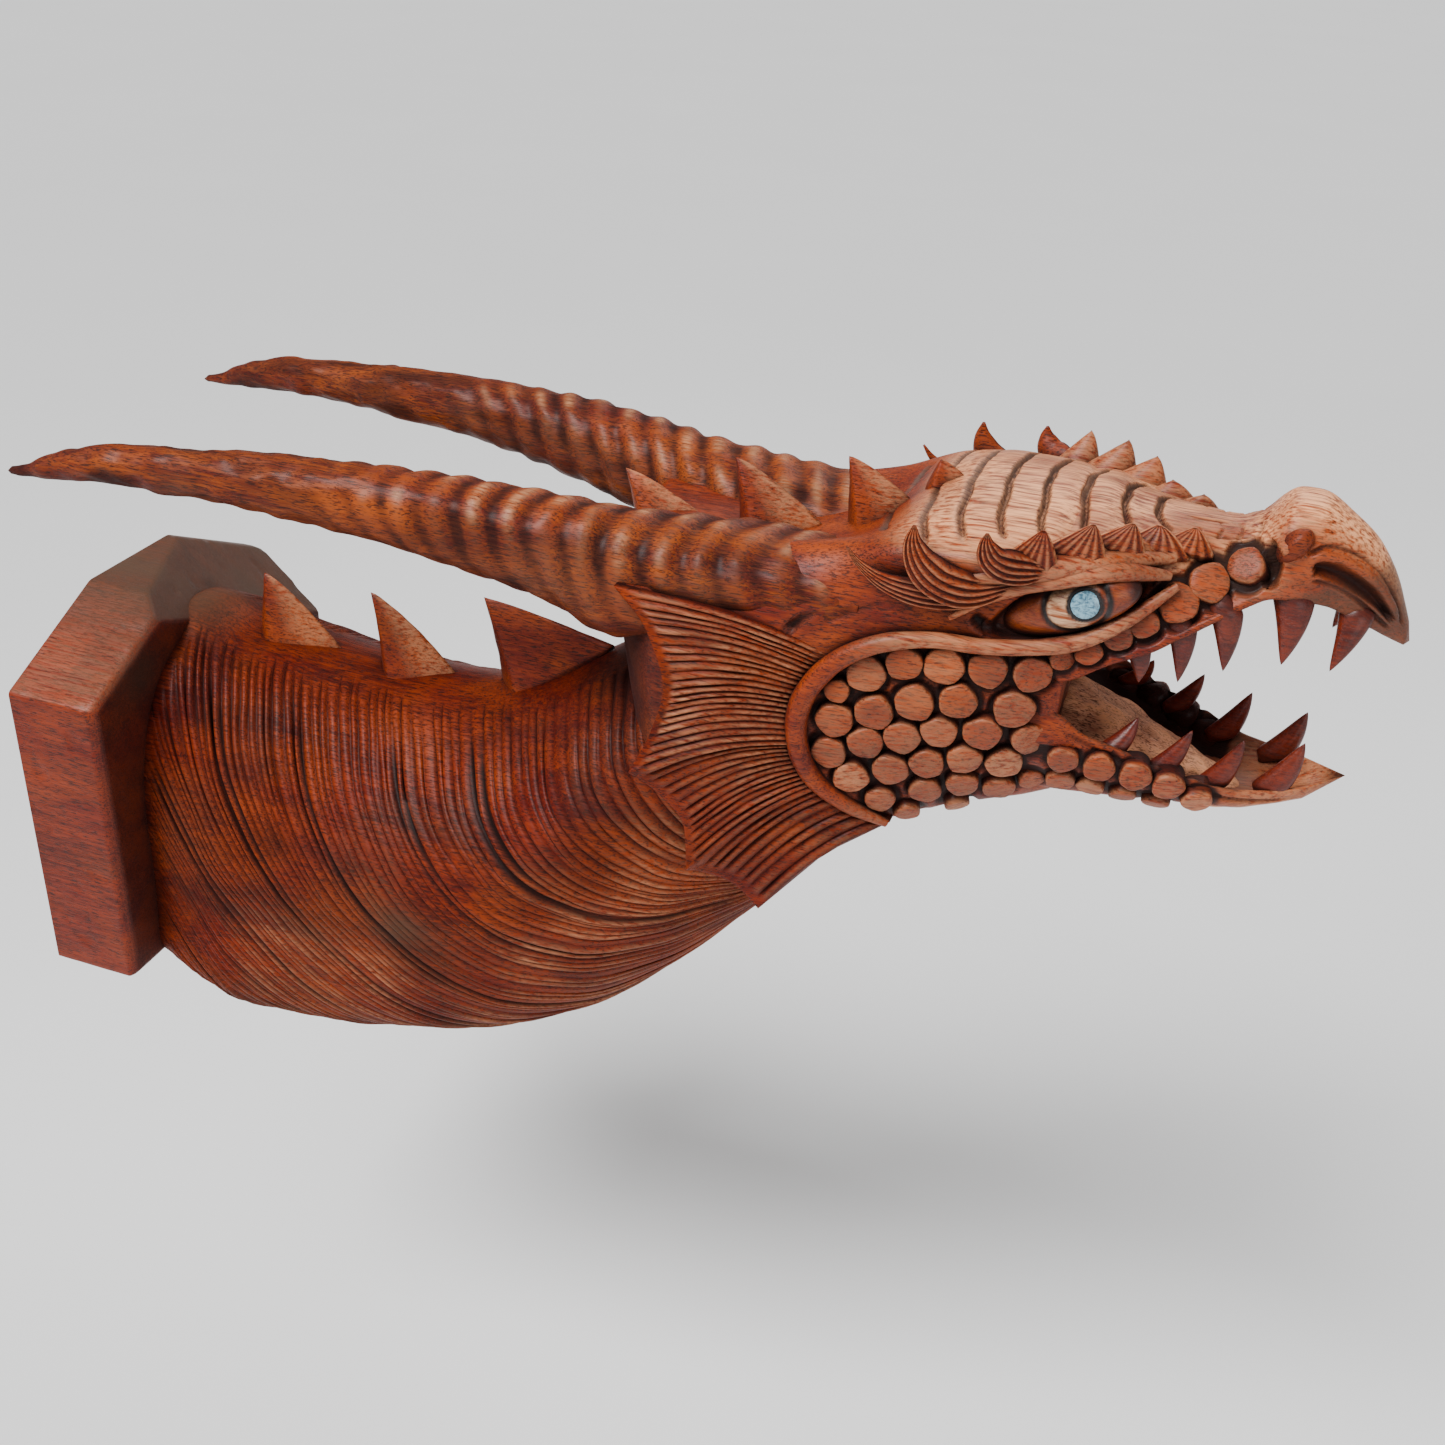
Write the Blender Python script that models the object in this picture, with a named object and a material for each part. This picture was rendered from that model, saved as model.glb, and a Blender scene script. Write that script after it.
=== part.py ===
"""Dragon head wall carving, cut from one block of varnished hardwood.

The block stands out from the wall along +X, +Z is up and the carving is the
same on both sides of the plane y = 0. The origin is the middle of the back
face of the plate, which rests against the wall. Sizes below are millimetres.
"""

import math

import bmesh
import bpy
import numpy as np

MM = 0.001
JOIN = 0.000002

# Whole carving
REACH = 500.0

# Back plate
PLATE_THICK = 40.0
PLATE_HALF_WIDTH = 80.5
PLATE_BOTTOM = -78.0
PLATE_SHOULDER = 53.0
PLATE_TOP = 79.0
PLATE_TOP_HALF = 26.0
PLATE_EDGE = 3.0
SCOOP_POINT = (14.0, 80.5, 49.0)
SCOOP_NORMAL = (0.645, 0.287, 0.708)

# Neck: distance from the wall, top, bottom, half width, flare, squareness above and below
NECK = (
    (20, 62, -75, 59, 0.18, 3.0, 7.0),
    (40, 62, -82, 60, 0.18, 3.0, 6.5),
    (60, 60, -92, 64, 0.15, 2.4, 5.5),
    (80, 59, -98, 68, 0.12, 2.0, 4.8),
    (120, 57, -99, 70, 0.08, 1.7, 3.8),
    (160, 58, -92, 70, 0.05, 1.65, 3.5),
    (200, 70, -81, 68, 0.03, 1.7, 3.2),
    (235, 95, -64, 64, 0.00, 1.9, 3.0),
    (265, 115, -38, 58, 0.00, 2.1, 2.7),
    (290, 125, -12, 52, -0.05, 2.2, 2.4),
    (320, 125, 24, 45, -0.10, 2.3, 2.3),
    (350, 118, 52, 34, -0.20, 2.3, 2.2),
)
NECK_START = 20.0
NECK_END = 350.0
NECK_POINTS = 10

# Mane strokes run down from the spine and sweep forward under the belly
STROKE_PITCH = 25.0
STROKE_DEPTH = 1.6
STROKE_SWEEP = 145.0
STROKE_TURN = 0.36
STROKE_FIRST = -125.0
STROKE_SMOOTH_BAND = 52.0

# Skull and cheeks: distance from the wall, then the half section as (y, z)
# crown, crown side, brow edge, eye hollow, cheek bone, jowl, chin side, chin
SKULL = (
    (226, ((0, 132), (12, 132), (24, 132), (34, 124), (38, 110), (38, 95), (30, 80), (0, 72))),
    (236, ((0, 147), (16, 147), (32, 148), (46, 138), (50, 118), (50, 92), (42, 60), (0, 40))),
    (290, ((0, 149), (18, 150), (36, 156), (52, 142), (54, 118), (52, 84), (44, 50), (0, 28))),
    (320, ((0, 158), (20, 159), (40, 163), (50, 146), (51, 122), (50, 90), (43, 60), (0, 40))),
    (345, ((0, 176), (22, 176), (48, 170), (47, 156), (48, 138), (47, 102), (36, 62), (0, 51))),
    (365, ((0, 183), (24, 181), (50, 171), (44, 157), (45, 141), (45, 108), (32, 70), (0, 62))),
    (385, ((0, 184), (24, 181), (46, 172), (41, 158), (42, 142), (41, 112), (27, 76), (0, 68))),
    (398, ((0, 181), (20, 178), (38, 171), (36, 159), (37, 143), (36, 114), (22, 80), (0, 73))),
)
SKULL_END = 398.0

# Upper jaw: crown, crown side, brow edge, cheek, lip side, lip, palate
SNOUT = (
    (386, ((0, 182), (22, 179), (42, 171), (39, 156), (40, 141), (38, 127), (0, 129))),
    (398, ((0, 184), (21, 181), (40, 174), (37, 159), (38.5, 142), (37.5, 129), (0, 132))),
    (410, ((0, 181), (17, 179), (33, 174), (33, 160), (35, 146), (35, 136), (0, 140))),
    (425, ((0, 180), (13, 178), (22, 173), (27, 163), (31, 152), (32, 144), (0, 149))),
    (440, ((0, 180), (10, 178), (17, 172), (23, 166), (26, 160), (27, 156), (0, 160))),
    (448, ((0, 183), (10, 181), (16, 176), (21, 170), (24, 165), (24, 161), (0, 165))),
    (457, ((0, 193), (10, 191), (17, 184), (20, 176), (22, 169), (21, 164), (0, 168))),
    (464, ((0, 193), (10, 191), (17, 184), (20, 176), (20, 169), (19, 164), (0, 167))),
    (474, ((0, 188), (9, 186), (15, 180), (17, 173), (16, 166), (14, 161), (0, 164))),
    (484, ((0, 181), (7, 179), (12, 173), (13, 166), (12, 160), (10, 156), (0, 158))),
    (493, ((0, 168), (4, 167), (7, 163), (8, 159), (7, 154), (5, 151), (0, 152))),
    (499, ((0, 155), (2, 154), (3, 152), (3, 151), (3, 149), (2, 148), (0, 148))),
)
BEAK_TIP = (REACH + 0.5, 0, 149)

# Lower jaw: floor, inner lip, lip, side, keel side, keel
JAW = (
    (386, ((0, 100), (26, 108), (38, 118), (38, 98), (24, 78), (0, 70))),
    (398, ((0, 98), (26, 106), (37, 116), (36, 98), (22, 79), (0, 73))),
    (408, ((0, 93), (24, 99), (34, 109), (33, 96), (20, 79), (0, 75))),
    (419, ((0, 90), (22, 95), (31, 105), (31, 93), (18, 79), (0, 76))),
    (433, ((0, 87), (18, 90), (28, 100), (27, 90), (15, 79), (0, 77))),
    (447, ((0, 85), (14, 87), (25, 96), (23, 87), (12, 80), (0, 78))),
    (460, ((0, 84), (11, 86), (20, 93), (18, 86), (9, 80), (0, 79))),
    (470, ((0, 86), (8, 87), (16, 93), (14, 87), (6, 82), (0, 81))),
    (481, ((0, 90), (5, 91), (10, 94), (9, 90), (4, 86), (0, 85))),
)
JAW_TIP_AHEAD = 12.0
JAW_TIP_HEIGHT = 96.0
TONGUE = ((390, 100, 20, 12), (405, 98, 18, 12), (420, 94, 15, 9), (436, 89, 11, 6), (450, 85, 7, 3))

# Horns: distance from the wall, top, bottom, sideways place of the middle, half width
HORN_TIP = (1.5, 61.5, 139.5)
HORN = (
    (12, 144.5, 139, 61.5, 2.8),
    (26, 150.5, 140.5, 60.5, 5.0),
    (48, 156.5, 142, 59, 7.0),
    (80, 160, 142.5, 57, 8.6),
    (104, 162, 141.5, 55, 10.0),
    (137, 164, 139.5, 53, 11.5),
    (163, 164.5, 137, 51, 12.8),
    (182, 164.5, 133.5, 49, 14.0),
    (200, 164, 130, 47, 15.0),
    (222, 162.5, 124, 44, 16.5),
    (243, 160.5, 115, 40, 19.0),
    (291, 159, 128, 31, 23.0),
    (330, 156, 133, 27, 22.0),
)
HORN_END = 330.0
RING_FIRST = 135.0
RING_PITCH = 17.0
RING_DEPTH = 1.1
HORN_SIDES = 8

# Fins: free edge from the top down, and the rim they spring from
FIN_EDGE = (
    (0.00, 249, 62, 143), (0.10, 262, 67, 131), (0.25, 270, 71, 110), (0.36, 267, 72, 95),
    (0.45, 261, 74, 80), (0.54, 271, 72, 70), (0.65, 279, 68, 56), (0.75, 280, 64, 38),
    (0.87, 294, 56, 32), (1.00, 305, 48, 20),
)
FIN_RIM = (
    (0.00, 323, 50, 128), (0.20, 316, 52.5, 114), (0.45, 315, 52.5, 94),
    (0.75, 323, 48.5, 77), (1.00, 347, 39, 61),
)
FIN_EDGE_THICK = 5.0
FIN_ROOT_THICK = 18.0
FIN_BOW = (4.0, 7.0)
FIN_FLUTES = 8
FIN_FLUTE_DEPTH = 0.8
FIN_COLUMNS = 3

# Spikes: tip (x, z), back of the base (x, z), front of the base (x, z), half thickness
SPIKES = (
    ((67, 85), (63, 50), (106, 52), 11),
    ((117, 86.5), (121, 50), (160, 52), 11),
    ((168, 95), (176, 54), (224, 86), 11),
    ((227, 159.5), (231, 140), (266, 142), 8),
    ((269, 171), (272, 142), (308, 147), 10),
    ((310, 178.5), (312, 148), (340, 162), 9),
    ((342, 183), (337, 168), (356, 174), 5),
)

# Brow leaves: tip, where the base starts and ends, height of the base
LEAVES = (
    ((327, 53, 166), 326, 345, 156, 49),
    ((346, 53, 180), 345, 364, 161, 48),
    ((369, 54, 182), 360, 378, 168, 48),
    ((385, 50, 184.5), 373, 390, 171, 45),
    ((399, 42, 186), 385, 403, 175, 39),
    ((410, 33, 185), 396, 414, 176, 31),
    ((417, 22, 181.5), 406, 427, 174, 22),
)
BROW_TAIL = ((374, 44, 163), (361, 46.6, 156), (347, 48.6, 156), (334, 50.4, 160), (329, 51.4, 164))

# Raised ridge under the eye that turns back and round the cheek
RIM_PATH = (
    (427, 30, 166), (415, 36, 155), (402, 40, 146), (388, 43.5, 142), (371, 46.5, 140),
    (355, 49, 140), (338, 52, 136), (324, 53, 126), (315, 53.5, 111), (314, 53, 95),
    (320, 50.5, 80), (332, 46, 69), (346, 40, 61),
)
RIM_RADIUS = 2.8
LID_PATH = ((362, 48, 150), (376, 46, 160), (393, 43.4, 167.2), (408, 38.5, 171), (422, 31, 171))
LID_RADIUS = 2.4

# Eye and its inlay
EYE_CENTRE = (396, 36.5, 156)
EYE_HALF = (23, 7.5, 9)
EYE_TILT = 27.0
INLAY_AT = (401, 42.9, 159.5)
INLAY_NORMAL = (0.18, 0.97, 0.16)
INLAY_RADIUS = 4.6
INLAY_THICK = 1.6
INLAY_GAP = 0.3
INLAY_PROUD = 0.5

# Nostrils and the hollow behind each wing of the nose
NOSTRIL_PATH = ((465, 20, 176), (470, 19.5, 179), (479, 16.5, 176), (487, 12, 167), (493, 8, 158))
NOSTRIL_RADIUS = 1.9
HOLLOW_AT = (447, 20, 178)
HOLLOW_RADIUS = 5.0
WING_AT = (458, 17, 183)
WING_RADIUS = 5.5

# Teeth: root middle, length of the root along the jaw, tip
UPPER_TEETH = (
    ((418, 30.5, 142), 8, (421, 30, 130)),
    ((430, 28, 151), 9, (433, 28, 132)),
    ((442, 25, 158), 10, (446, 26, 138)),
    ((461, 20, 164), 12, (463, 22, 142)),
    ((481, 13, 160), 10, (478, 18, 141)),
)
LOWER_TEETH = (
    ((415, 27, 101), 9, (423, 22.7, 113.7)),
    ((432, 23, 96), 9, (441, 21.7, 112.6)),
    ((449, 18, 91), 10, (458, 18, 111)),
    ((468, 12, 91), 11, (477, 11.4, 111)),
)

# Rows of cheek discs: first, middle and last centre as (x, z), spacing, radius
DISC_ROWS = (
    ((338, 125), (357, 133), (387, 131), 12.7, 6.0),
    ((324, 114), (324.2, 114), (324.4, 114), 10.0, 4.6),
    ((330, 103), (351, 115), (384, 118), 14.3, 6.0),
    ((322, 93), (353, 103), (389, 106), 13.7, 5.8),
    ((333, 84), (360, 93), (385, 93), 13.4, 5.8),
    ((343, 73), (366, 82), (391, 83), 16.6, 5.6),
    ((352, 66), (372, 71), (394, 75), 21.5, 4.2),
    ((402, 95), (424, 92), (448, 87), 11.7, 4.8),
    ((396, 137), (409, 145), (420, 153), 9.6, 4.2),
    ((428, 160), (436.5, 168), (446, 175), 11.7, 5.4),
)
DISC_ROUNDS = 30
DISC_PROUD = 1.4
DISC_SUNK = 3.0
DISC_SIDES = 6
DISC_TAPER = 0.84
DISC_SPACE = 0.7


def slopes(knots, values):
    """Slopes at the knots for a smooth curve that never overshoots its points."""
    step = np.diff(knots)[:, None]
    rise = np.diff(values, axis=0) / step
    out = np.zeros_like(values)
    before, after = rise[:-1], rise[1:]
    same = before * after > 0
    one = step[:-1] * 2 + step[1:]
    two = step[:-1] + step[1:] * 2
    with np.errstate(divide="ignore", invalid="ignore"):
        mean = (one + two) / (one / before + two / after)
    out[1:-1] = np.where(same, mean, 0.0)
    out[0] = rise[0]
    out[-1] = rise[-1]
    return out


def along(knots, values, where):
    """Smooth value of a table at one place, column by column."""
    knots = np.asarray(knots, float)
    values = np.asarray(values, float)
    shape = values.shape[1:]
    flat = values.reshape(len(knots), -1)
    grade = slopes(knots, flat)
    x = float(np.clip(where, knots[0], knots[-1]))
    i = int(np.clip(np.searchsorted(knots, x) - 1, 0, len(knots) - 2))
    h = knots[i + 1] - knots[i]
    t = (x - knots[i]) / h
    a = (1 + 2 * t) * (1 - t) ** 2
    b = t * (1 - t) ** 2
    c = t * t * (3 - 2 * t)
    d = t * t * (t - 1)
    out = a * flat[i] + b * h * grade[i] + c * flat[i + 1] + d * h * grade[i + 1]
    return out.reshape(shape)


def smooth_step(value, low, high):
    t = min(max((value - low) / (high - low), 0.0), 1.0)
    return t * t * (3 - 2 * t)


def closed_curve(points, per_span):
    """Points on a closed curve through the given points."""
    pts = np.asarray(points, float)
    n = len(pts)
    out = []
    for i in range(n):
        p0, p1, p2, p3 = pts[i - 1], pts[i], pts[(i + 1) % n], pts[(i + 2) % n]
        for k in range(per_span):
            t = k / per_span
            out.append(0.5 * (2 * p1 + (p2 - p0) * t + (2 * p0 - 5 * p1 + 4 * p2 - p3) * t * t
                              + (3 * p1 - p0 - 3 * p2 + p3) * t ** 3))
    return np.array(out)


def whole_ring(half, per_span):
    """The full section from its right half, listed top to bottom."""
    half = [tuple(p) for p in half]
    other = [(-y, z) for y, z in half[-2:0:-1]]
    return closed_curve(half + other, per_span)


def new_object(name, verts, faces):
    mesh = bpy.data.meshes.new(name)
    mesh.from_pydata([tuple(float(c) * MM for c in v) for v in verts], [], faces)
    obj = bpy.data.objects.new(name, mesh)
    bpy.context.scene.collection.objects.link(obj)
    bm = bmesh.new()
    bm.from_mesh(mesh)
    bmesh.ops.remove_doubles(bm, verts=bm.verts, dist=JOIN)
    bmesh.ops.recalc_face_normals(bm, faces=bm.faces)
    if bm.calc_volume(signed=True) < 0:
        bmesh.ops.reverse_faces(bm, faces=bm.faces)
    bm.to_mesh(mesh)
    bm.free()
    return obj


class Parts:
    """Collects closed shapes so that each group becomes one object."""

    def __init__(self):
        self.verts = []
        self.faces = []

    def add(self, verts, faces, both_sides=False):
        base = len(self.verts)
        self.verts.extend(tuple(v) for v in verts)
        self.faces.extend(tuple(base + i for i in f) for f in faces)
        if both_sides:
            base = len(self.verts)
            self.verts.extend((v[0], -v[1], v[2]) for v in verts)
            self.faces.extend(tuple(base + i for i in reversed(f)) for f in faces)

    def build(self, name):
        return new_object(name, self.verts, self.faces)


def rings_to_shape(rings, tip_start=None, tip_end=None):
    """A closed skin over rings of equal size, with flat or pointed ends."""
    count = len(rings[0])
    verts = [tuple(p) for ring in rings for p in ring]
    faces = []
    for r in range(len(rings) - 1):
        for k in range(count):
            a = r * count + k
            b = r * count + (k + 1) % count
            faces.append((a, b, b + count, a + count))
    last = (len(rings) - 1) * count
    if tip_start is None:
        faces.append(tuple(range(count - 1, -1, -1)))
    else:
        verts.append(tuple(tip_start))
        tip = len(verts) - 1
        faces.extend((tip, (k + 1) % count, k) for k in range(count))
    if tip_end is None:
        faces.append(tuple(range(last, last + count)))
    else:
        verts.append(tuple(tip_end))
        tip = len(verts) - 1
        faces.extend((tip, last + k, last + (k + 1) % count) for k in range(count))
    return verts, faces


def tube(path, radii, sides, squash=1.0):
    """A round bar along a path, its two ends drawn in."""
    pts = [np.array(p, float) for p in path]
    rings = []
    for i, p in enumerate(pts):
        ahead = pts[min(i + 1, len(pts) - 1)] - pts[max(i - 1, 0)]
        ahead /= np.linalg.norm(ahead)
        out = np.array((0.0, 1.0, 0.0)) - ahead * ahead[1]
        out /= np.linalg.norm(out)
        across = np.cross(ahead, out)
        ring = []
        for k in range(sides):
            a = 2 * math.pi * k / sides
            ring.append(p + radii[i] * (math.cos(a) * out * squash + math.sin(a) * across))
        rings.append(ring)
    return rings_to_shape(rings)


def neck_half(x):
    """Half section of the neck at a distance from the wall."""
    table = np.array(NECK, float)
    top, bottom, width, flare, upper, lower = along(table[:, 0], table[:, 1:], x)
    middle = (top + bottom) / 2
    half = (top - bottom) / 2
    points = []
    for k in range(NECK_POINTS + 1):
        a = math.pi * k / NECK_POINTS
        c, s = math.cos(a), math.sin(a)
        e = 2.0 / (upper if c > 0 else lower)
        y = width * abs(s) ** e * (1 - flare * c) if 0 < k < NECK_POINTS else 0.0
        points.append((y, middle + half * math.copysign(abs(c) ** e, c)))
    return points


def stroke_x(start, turn):
    """Distance from the wall of a mane stroke, part of the way round the neck."""
    w = max(turn - STROKE_TURN, 0.0) / (1 - STROKE_TURN)
    room = min(max((NECK_END - start) / 160.0, 0.0), 1.0)
    x = start + STROKE_SWEEP * w ** 1.4 * room
    return min(max(x, NECK_START), NECK_END)


def neck_shape():
    """Neck with its mane: each ring of points follows a stroke, high or low."""
    rings = []
    rows = int((NECK_END - STROKE_FIRST) / (STROKE_PITCH / 2))
    for row in range(rows + 1):
        start = STROKE_FIRST + row * (NECK_END - STROKE_FIRST) / rows
        lift = STROKE_DEPTH / 2 * (1 if row % 2 else -1)
        ring = []
        for k in range(2 * NECK_POINTS):
            step = k if k <= NECK_POINTS else 2 * NECK_POINTS - k
            turn = step / NECK_POINTS
            x = stroke_x(start, turn)
            half = neck_half(x)
            y, z = half[step]
            before = half[max(step - 1, 0)]
            after = half[min(step + 1, NECK_POINTS)]
            ty, tz = after[0] - before[0], after[1] - before[1]
            size = math.hypot(ty, tz)
            fade = smooth_step(x, STROKE_SMOOTH_BAND - 10, STROKE_SMOOTH_BAND)
            fade *= smooth_step(turn, 0.04, 0.14)
            y += -tz / size * lift * fade if 0 < step < NECK_POINTS else 0.0
            z += ty / size * lift * fade
            ring.append((x, y if k <= NECK_POINTS else -y, z))
        rings.append(ring)
    verts, faces = rings_to_shape(rings)
    return verts, faces


def loft(stations, per_span, spans, tip=None):
    """Skin through half sections, with extra rings between the stations."""
    xs = [s[0] for s in stations]
    halves = [s[1] for s in stations]
    rings = []
    for i in range(len(xs) - 1):
        for k in range(spans):
            x = xs[i] + (xs[i + 1] - xs[i]) * k / spans
            rings.append((x, along(xs, halves, x)))
    rings.append((xs[-1], np.array(halves[-1], float)))
    shaped = [[(x, y, z) for y, z in whole_ring(half, per_span)] for x, half in rings]
    return rings_to_shape(shaped, tip_end=tip)


def skin_side(stations, x, z):
    """Outward distance and outward direction of a skin at a place on its side."""
    xs = [s[0] for s in stations]
    halves = [s[1] for s in stations]

    def side(px, pz):
        ring = whole_ring(along(xs, halves, px), 6)
        right = ring[ring[:, 0] > 2.0]
        outer = right[np.abs(right[:, 1] - pz) < 6.0]
        order = np.argsort(outer[:, 1])
        return float(np.interp(pz, outer[order, 1], outer[order, 0]))

    y = side(x, z)
    dx = side(x + 2, z) - side(x - 2, z)
    dz = side(x, z + 2) - side(x, z - 2)
    normal = np.array((-dx / 4, 1.0, -dz / 4))
    return y, normal / np.linalg.norm(normal)


def disc(centre, normal, radius, sides, low, high, taper):
    """A short round peg standing on a surface."""
    n = np.array(normal, float)
    n /= np.linalg.norm(n)
    along_x = np.array((1.0, 0.0, 0.0)) - n * n[0]
    along_x /= np.linalg.norm(along_x)
    up = np.cross(n, along_x)
    rings = []
    for depth, scale in ((-low, 1.0), (high, taper)):
        ring = []
        for k in range(sides):
            a = 2 * math.pi * (k + 0.5) / sides
            ring.append(np.array(centre) + n * depth
                        + radius * scale * (math.cos(a) * along_x + math.sin(a) * up))
        rings.append(ring)
    return rings_to_shape(rings)


def row_points(first, middle, last, spacing):
    """Points about one spacing apart on the arc through three points."""
    p0, pm, p2 = (np.array(p, float) for p in (first, middle, last))
    p1 = 2 * pm - (p0 + p2) / 2
    length = np.linalg.norm(pm - p0) + np.linalg.norm(p2 - pm)
    count = int(length / spacing + 0.5) + 1
    for k in range(count):
        t = k / max(count - 1, 1)
        yield (1 - t) ** 2 * p0 + 2 * t * (1 - t) * p1 + t * t * p2


def fang(root, length, tip):
    """A curved tooth, wider along the jaw than across it."""
    root = np.array(root, float)
    tip = np.array(tip, float)
    reach = tip - root
    start = root - reach * 0.25
    rings = []
    for t, size in ((0.0, 1.0), (0.6, 0.66)):
        bend = math.sin(math.pi * t) * 0.10 * length
        middle = start + (tip - start) * t + np.array((bend, 0, 0))
        ring = []
        for k in range(4):
            a = 2 * math.pi * k / 4
            ring.append(middle + size * np.array((length / 2 * math.cos(a), length * 0.3 * math.sin(a), 0)))
        rings.append(ring)
    return rings_to_shape(rings, tip_end=tip)


def spike(tip, back, front, half_thick):
    """A thorn on the middle line: steep behind, long and full in front."""
    rings = []
    for h in (-0.12, 0.25, 0.55, 0.82):
        g = max(h, 0.0)
        x0 = back[0] + (tip[0] - back[0]) * g ** 1.6
        x1 = tip[0] + (front[0] - tip[0]) * (1 - g) ** 0.72
        z0 = back[1] + (tip[1] - back[1]) * h
        z1 = front[1] + (tip[1] - front[1]) * h
        t = half_thick * (1 - g) ** 0.75
        mid = x0 + (x1 - x0) * 0.42
        low = x0 + (mid - x0) * 0.35
        zm = z0 + (z1 - z0) * 0.42
        zl = z0 + (z1 - z0) * 0.15
        rings.append([(x0, 0, z0), (low, -t * 0.72, zl), (mid, -t, zm), (x1, 0, z1),
                      (mid, t, zm), (low, t * 0.72, zl)])
    return rings_to_shape(rings, tip_end=(tip[0], 0, tip[1]))


def leaf(tip, back, front, base, out):
    """A pointed leaf standing on the brow."""
    rings = []
    for h in (-0.3, 0.5):
        g = max(h, 0.0)
        x0 = tip[0] + (back - tip[0]) * (1 - g) ** 0.8
        x1 = tip[0] + (front - tip[0]) * (1 - g) ** 0.8
        y = out + (tip[1] - out) * g
        z = base + (tip[2] - base) * h
        t = 5.5 * (1 - g) ** 0.8
        mid = (x0 + x1) / 2
        rings.append([(x0, y - 1, z), (mid, y - t, z), (x1, y - 1, z), (mid, y + t, z)])
    return rings_to_shape(rings, tip_end=tip)


def ellipsoid(centre, half, tilt, rows, sides):
    c, s = math.cos(math.radians(tilt)), math.sin(math.radians(tilt))

    def place(x, y, z):
        return (centre[0] + x * c - z * s, centre[1] + y, centre[2] + x * s + z * c)

    rings = []
    for r in range(1, rows):
        a = math.pi * r / rows
        rings.append([place(-half[0] * math.cos(a),
                            half[1] * math.sin(a) * math.cos(2 * math.pi * k / sides),
                            half[2] * math.sin(a) * math.sin(2 * math.pi * k / sides))
                      for k in range(sides)])
    return rings_to_shape(rings, tip_start=place(-half[0], 0, 0), tip_end=place(half[0], 0, 0))


def horn_shape():
    table = np.array(HORN, float)
    places = [12, 26, 48, 72, 96, 118]
    ring_x = RING_FIRST
    while ring_x < HORN_END:
        places.append(ring_x)
        ring_x += RING_PITCH / 2
    rings = []
    for x in places:
        top, bottom, side, wide = along(table[:, 0], table[:, 1:], x)
        lift = 0.0
        if x >= RING_FIRST:
            number = round((x - RING_FIRST) / (RING_PITCH / 2))
            lift = RING_DEPTH / 2 * (1 if number % 2 else -1)
        ring = []
        for k in range(HORN_SIDES):
            a = 2 * math.pi * (k + 0.5) / HORN_SIDES
            ring.append((x, side + (wide + lift) * math.sin(a),
                         (top + bottom) / 2 + ((top - bottom) / 2 + lift) * math.cos(a)))
        rings.append(ring)
    return rings_to_shape(rings, tip_start=HORN_TIP)


def fin_shape():
    """A fan from the rim to the scalloped edge, fluted along its rays."""
    edge = np.array(FIN_EDGE, float)
    rim = np.array(FIN_RIM, float)
    rows = 2 * FIN_FLUTES
    front, back = [], []
    for r in range(rows + 1):
        v = r / rows
        a = np.array([np.interp(v, edge[:, 0], edge[:, c]) for c in (1, 2, 3)])
        b = along(rim[:, 0], rim[:, 1:], v)
        bow = FIN_BOW[0] + (FIN_BOW[1] - FIN_BOW[0]) * v
        lift = FIN_FLUTE_DEPTH / 2 * (1 if r % 2 else -1)
        for k in range(FIN_COLUMNS + 1):
            u = k / FIN_COLUMNS
            p = a + (b - a) * u
            p[2] += bow * math.sin(math.pi * u)
            p[1] += 1.5 * math.sin(math.pi * u)
            thick = FIN_EDGE_THICK + (FIN_ROOT_THICK - FIN_EDGE_THICK) * u
            front.append((p[0], p[1] + lift * math.sin(math.pi * min(u + 0.15, 1.0)), p[2]))
            back.append((p[0], p[1] - thick, p[2]))
    wide = FIN_COLUMNS + 1
    shift = len(front)
    faces = []
    for r in range(rows):
        for k in range(FIN_COLUMNS):
            q = r * wide + k
            faces.append((q, q + 1, q + 1 + wide, q + wide))
            faces.append((shift + q, shift + q + wide, shift + q + 1 + wide, shift + q + 1))
    for k in range(FIN_COLUMNS):
        faces.append((k, shift + k, shift + k + 1, k + 1))
        q = rows * wide + k
        faces.append((q, q + 1, shift + q + 1, shift + q))
    for r in range(rows):
        q = r * wide
        faces.append((q, q + wide, shift + q + wide, shift + q))
        q += FIN_COLUMNS
        faces.append((q, shift + q, shift + q + wide, q + wide))
    return front + back, faces


def wedge_shape():
    """Block outside the plane that eases the top front corner of the plate."""
    n = np.array(SCOOP_NORMAL, float)
    n /= np.linalg.norm(n)
    p = np.array(SCOOP_POINT, float)
    across = np.cross(n, (0.0, 1.0, 0.0))
    across /= np.linalg.norm(across)
    up = np.cross(n, across)
    rings = []
    for depth in (0.0, 90.0):
        rings.append([p + n * depth + 130.0 * (a * across + b * up)
                      for a, b in ((-1, -1), (1, -1), (1, 1), (-1, 1))])
    return rings_to_shape(rings)


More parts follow.
